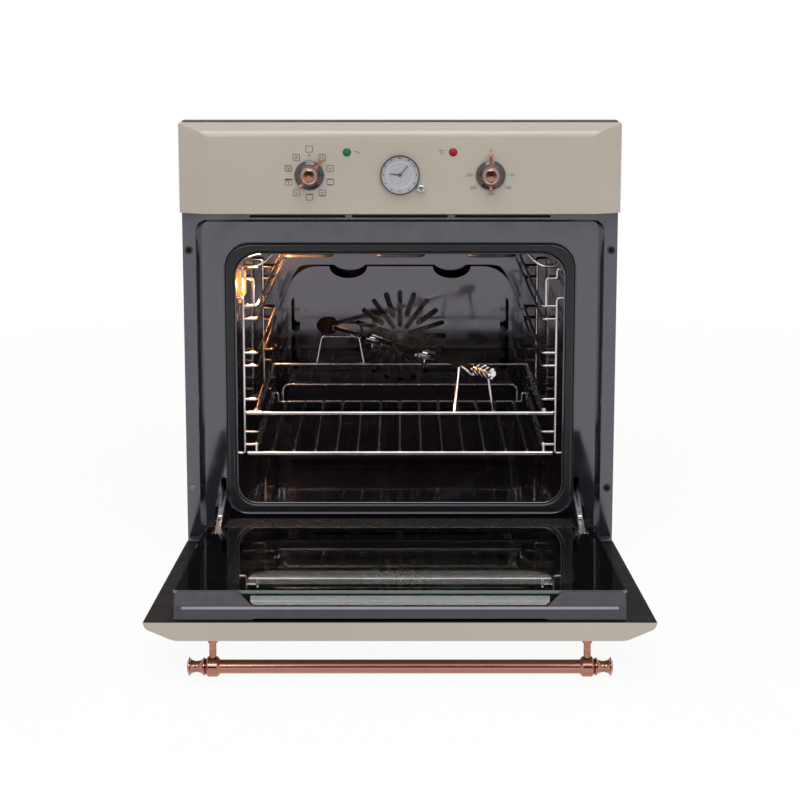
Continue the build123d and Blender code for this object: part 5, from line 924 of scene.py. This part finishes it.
HEAD = [(0.0, 0.1), (0.0, 3.6), (0.9, 3.5), (1.7, 2.7), (2.0, 1.4), (2.05, 0.1)]
HEAD_TOP = HEAD[-1][0]
REAR_Y = 546.85
COVER_Z = 548.05
SIDE_X = 277.55
casing_heads, casing_cross_shades = [], []
spots = [((x, REAR_Y, z), (0, 1, 0)) for x in (-262, -90, 90, 262) for z in (16, 532)]
spots += [((x, y, COVER_Z), (0, 0, 1)) for x in (-262, 262) for y in (30, 200, 370, 520)]
spots += [((side * SIDE_X, y, z), (side, 0, 0))
          for side in (-1, 1) for y in (24, 530) for z in (20, 280, 520)]
for centre, direction in spots:
    casing_heads.append(turned(centre, direction, HEAD))
    top = np.asarray(centre, float) + np.asarray(direction, float) * HEAD_TOP
    # Each cross is painted shade of the head's recess, laid over the head rather than cut into it.
    casing_cross_shades += painted_cross_shade(top, direction, 1.7)
mesh_piece("casing_screws", casing_heads, steel, "carcass")
mesh_piece("casing_cross_shades", casing_cross_shades, paint, "carcass", smooth=False)
print("casing screws", len(casing_heads))

# %% Cap and screws in the flange
FLANGE_X = 289.0
FLANGE_Y = -1.2
LOW_HOLE_Z = 82.0
HIGH_HOLE_Z = 417.0
cap_grey, tree, shader = new_finish("grey_cap", (0.16, 0.16, 0.17), 0.4)
tint(tree, shader, noise(tree, 400.0), (0.13, 0.13, 0.14), (0.19, 0.19, 0.20))
relief(tree, shader, noise(tree, 1500.0), 0.08, 0.0002)
cap_profile = [(0.0, 0.1), (0.0, 5.2), (0.8, 5.0), (1.4, 3.6), (1.6, 0.1)]
cap = turned((-FLANGE_X, FLANGE_Y, LOW_HOLE_Z), FORWARD, cap_profile)
mesh_piece("flange_cap", [cap], cap_grey, "carcass")
screw_profile = [(-2.0, 0.1), (-2.0, 4.6), (-0.2, 4.5), (0.3, 3.6), (0.5, 0.1)]
holes = ((-FLANGE_X, HIGH_HOLE_Z), (FLANGE_X, HIGH_HOLE_Z), (FLANGE_X, LOW_HOLE_Z))
screws = [turned((x, FLANGE_Y, z), FORWARD, screw_profile) for x, z in holes]
mesh_piece("flange_screws", screws, satin, "carcass")
print("one cap and", len(screws), "screws in the flange")

# %% [markdown]
# ## Steel inlay of the knobs
# Each copper ring holds a fine steel ring, which catches the light between the copper
# rim and the copper cap. It rides on its knob and turns with it. Its place is counted
# from the panel's face: the knob's gap, its skirt and its ring, less the groove's depth.

# %% Knob inlays
KNOB_GAP = 0.6
SKIRT_L = 8.0
RING_L = 6.5
GROOVE_D = 1.6
GROOVE_Y = FACE_Y - KNOB_GAP - SKIRT_L - RING_L + GROOVE_D
inlay, tree, shader = new_finish("inlay_steel", (0.42, 0.40, 0.40), 0.3, 1.0)
tint(tree, shader, noise(tree, 700.0), (0.36, 0.34, 0.34), (0.46, 0.44, 0.44))
polish(tree, shader, noise(tree, 900.0), 0.26, 0.36)
inlay_profile = [(-0.05, 8.85), (-0.05, 11.35), (0.5, 11.3), (0.75, 10.6), (0.75, 9.6),
                 (0.5, 8.9), (-0.05, 8.85)]
for name, body, x in (("selector_inlay", "selector", -KNOB_X),
                      ("thermostat_inlay", "thermostat_control", KNOB_X)):
    points, faces = turned((x, GROOVE_Y, KNOB_Z), FORWARD, inlay_profile, 48)
    without_ends = faces[:-2]
    mesh_piece(name, [(points, without_ends)], inlay, body)
print("inlays sit at Y", GROOVE_Y)

# %% [markdown]
# ## Glow of the oven lamp
# The lamp behind the left wall is lit in the picture. Its glass shines by itself, and a
# small warm lamp in front of it throws the amber light on the racks and the roof.

# %% Oven lamp
glow_data = bpy.data.lights.new("oven_glow", "POINT")
glow_data.energy = 5.0
glow_data.color = (1.0, 0.42, 0.12)
glow_data.shadow_soft_size = 0.012
glow = bpy.data.objects.new("oven_glow", glow_data)
glow.location = (-0.206, 0.092, 0.355)
bpy.context.scene.collection.objects.link(glow)
print("glow", glow_data.energy, "W")

# %% [markdown]
# ## Floor
# A plain pale floor lies just under the lowest point, which is the handle of the open
# door. It isn't part of the oven. The camera, a gloss and a
# clear piece see it as almost white, and its plain surface still takes the oven's shadow.
# Away from the oven the white grows to the full, so that no horizon shows.

# %% Floor
FLOOR_REACH = 9.0
FLOOR_FRONT = -4.6
FLOOR_GAP = 0.002
NEAR_AND_FAR = (0.7, 2.4)
WHITE_SHARE = (0.93, 1.0)
low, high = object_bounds()
level = low.z - FLOOR_GAP
floor_corners = [(-FLOOR_REACH, FLOOR_FRONT, level), (FLOOR_REACH, FLOOR_FRONT, level),
                 (FLOOR_REACH, FLOOR_REACH, level), (-FLOOR_REACH, FLOOR_REACH, level)]
floor_mesh = bpy.data.meshes.new("floor")
floor_mesh.from_pydata(floor_corners, [], [(0, 1, 2, 3)])
floor = bpy.data.objects.new("floor", floor_mesh)
bpy.context.scene.collection.objects.link(floor)
floor_finish, tree, shader = new_finish("floor_white", (0.93, 0.93, 0.93), 0.9)
tint(tree, shader, noise(tree, 2.0), (0.92, 0.92, 0.92), (0.94, 0.94, 0.94))
shader.inputs["Specular IOR Level"].default_value = 0.0
glow_white = tree.nodes.new("ShaderNodeEmission")
glow_white.inputs["Strength"].default_value = 1.0
place = tree.nodes.new("ShaderNodeTexCoord")
distance = tree.nodes.new("ShaderNodeVectorMath")
distance.operation = "LENGTH"
tree.links.new(place.outputs["Object"], distance.inputs[0])
share = remap(tree, distance.outputs["Value"], NEAR_AND_FAR, WHITE_SHARE)
share = node_math(tree, "MULTIPLY", seen_ray(tree), share)
blend = tree.nodes.new("ShaderNodeMixShader")
tree.links.new(share, blend.inputs["Fac"])
tree.links.new(shader.outputs[0], blend.inputs[1])
tree.links.new(glow_white.outputs[0], blend.inputs[2])
tree.links.new(blend.outputs[0], tree.nodes["Material Output"].inputs["Surface"])
floor_mesh.materials.append(floor_finish)
print("floor at", round(level, 4), "under an oven", round(high.z - low.z, 3), "m high")
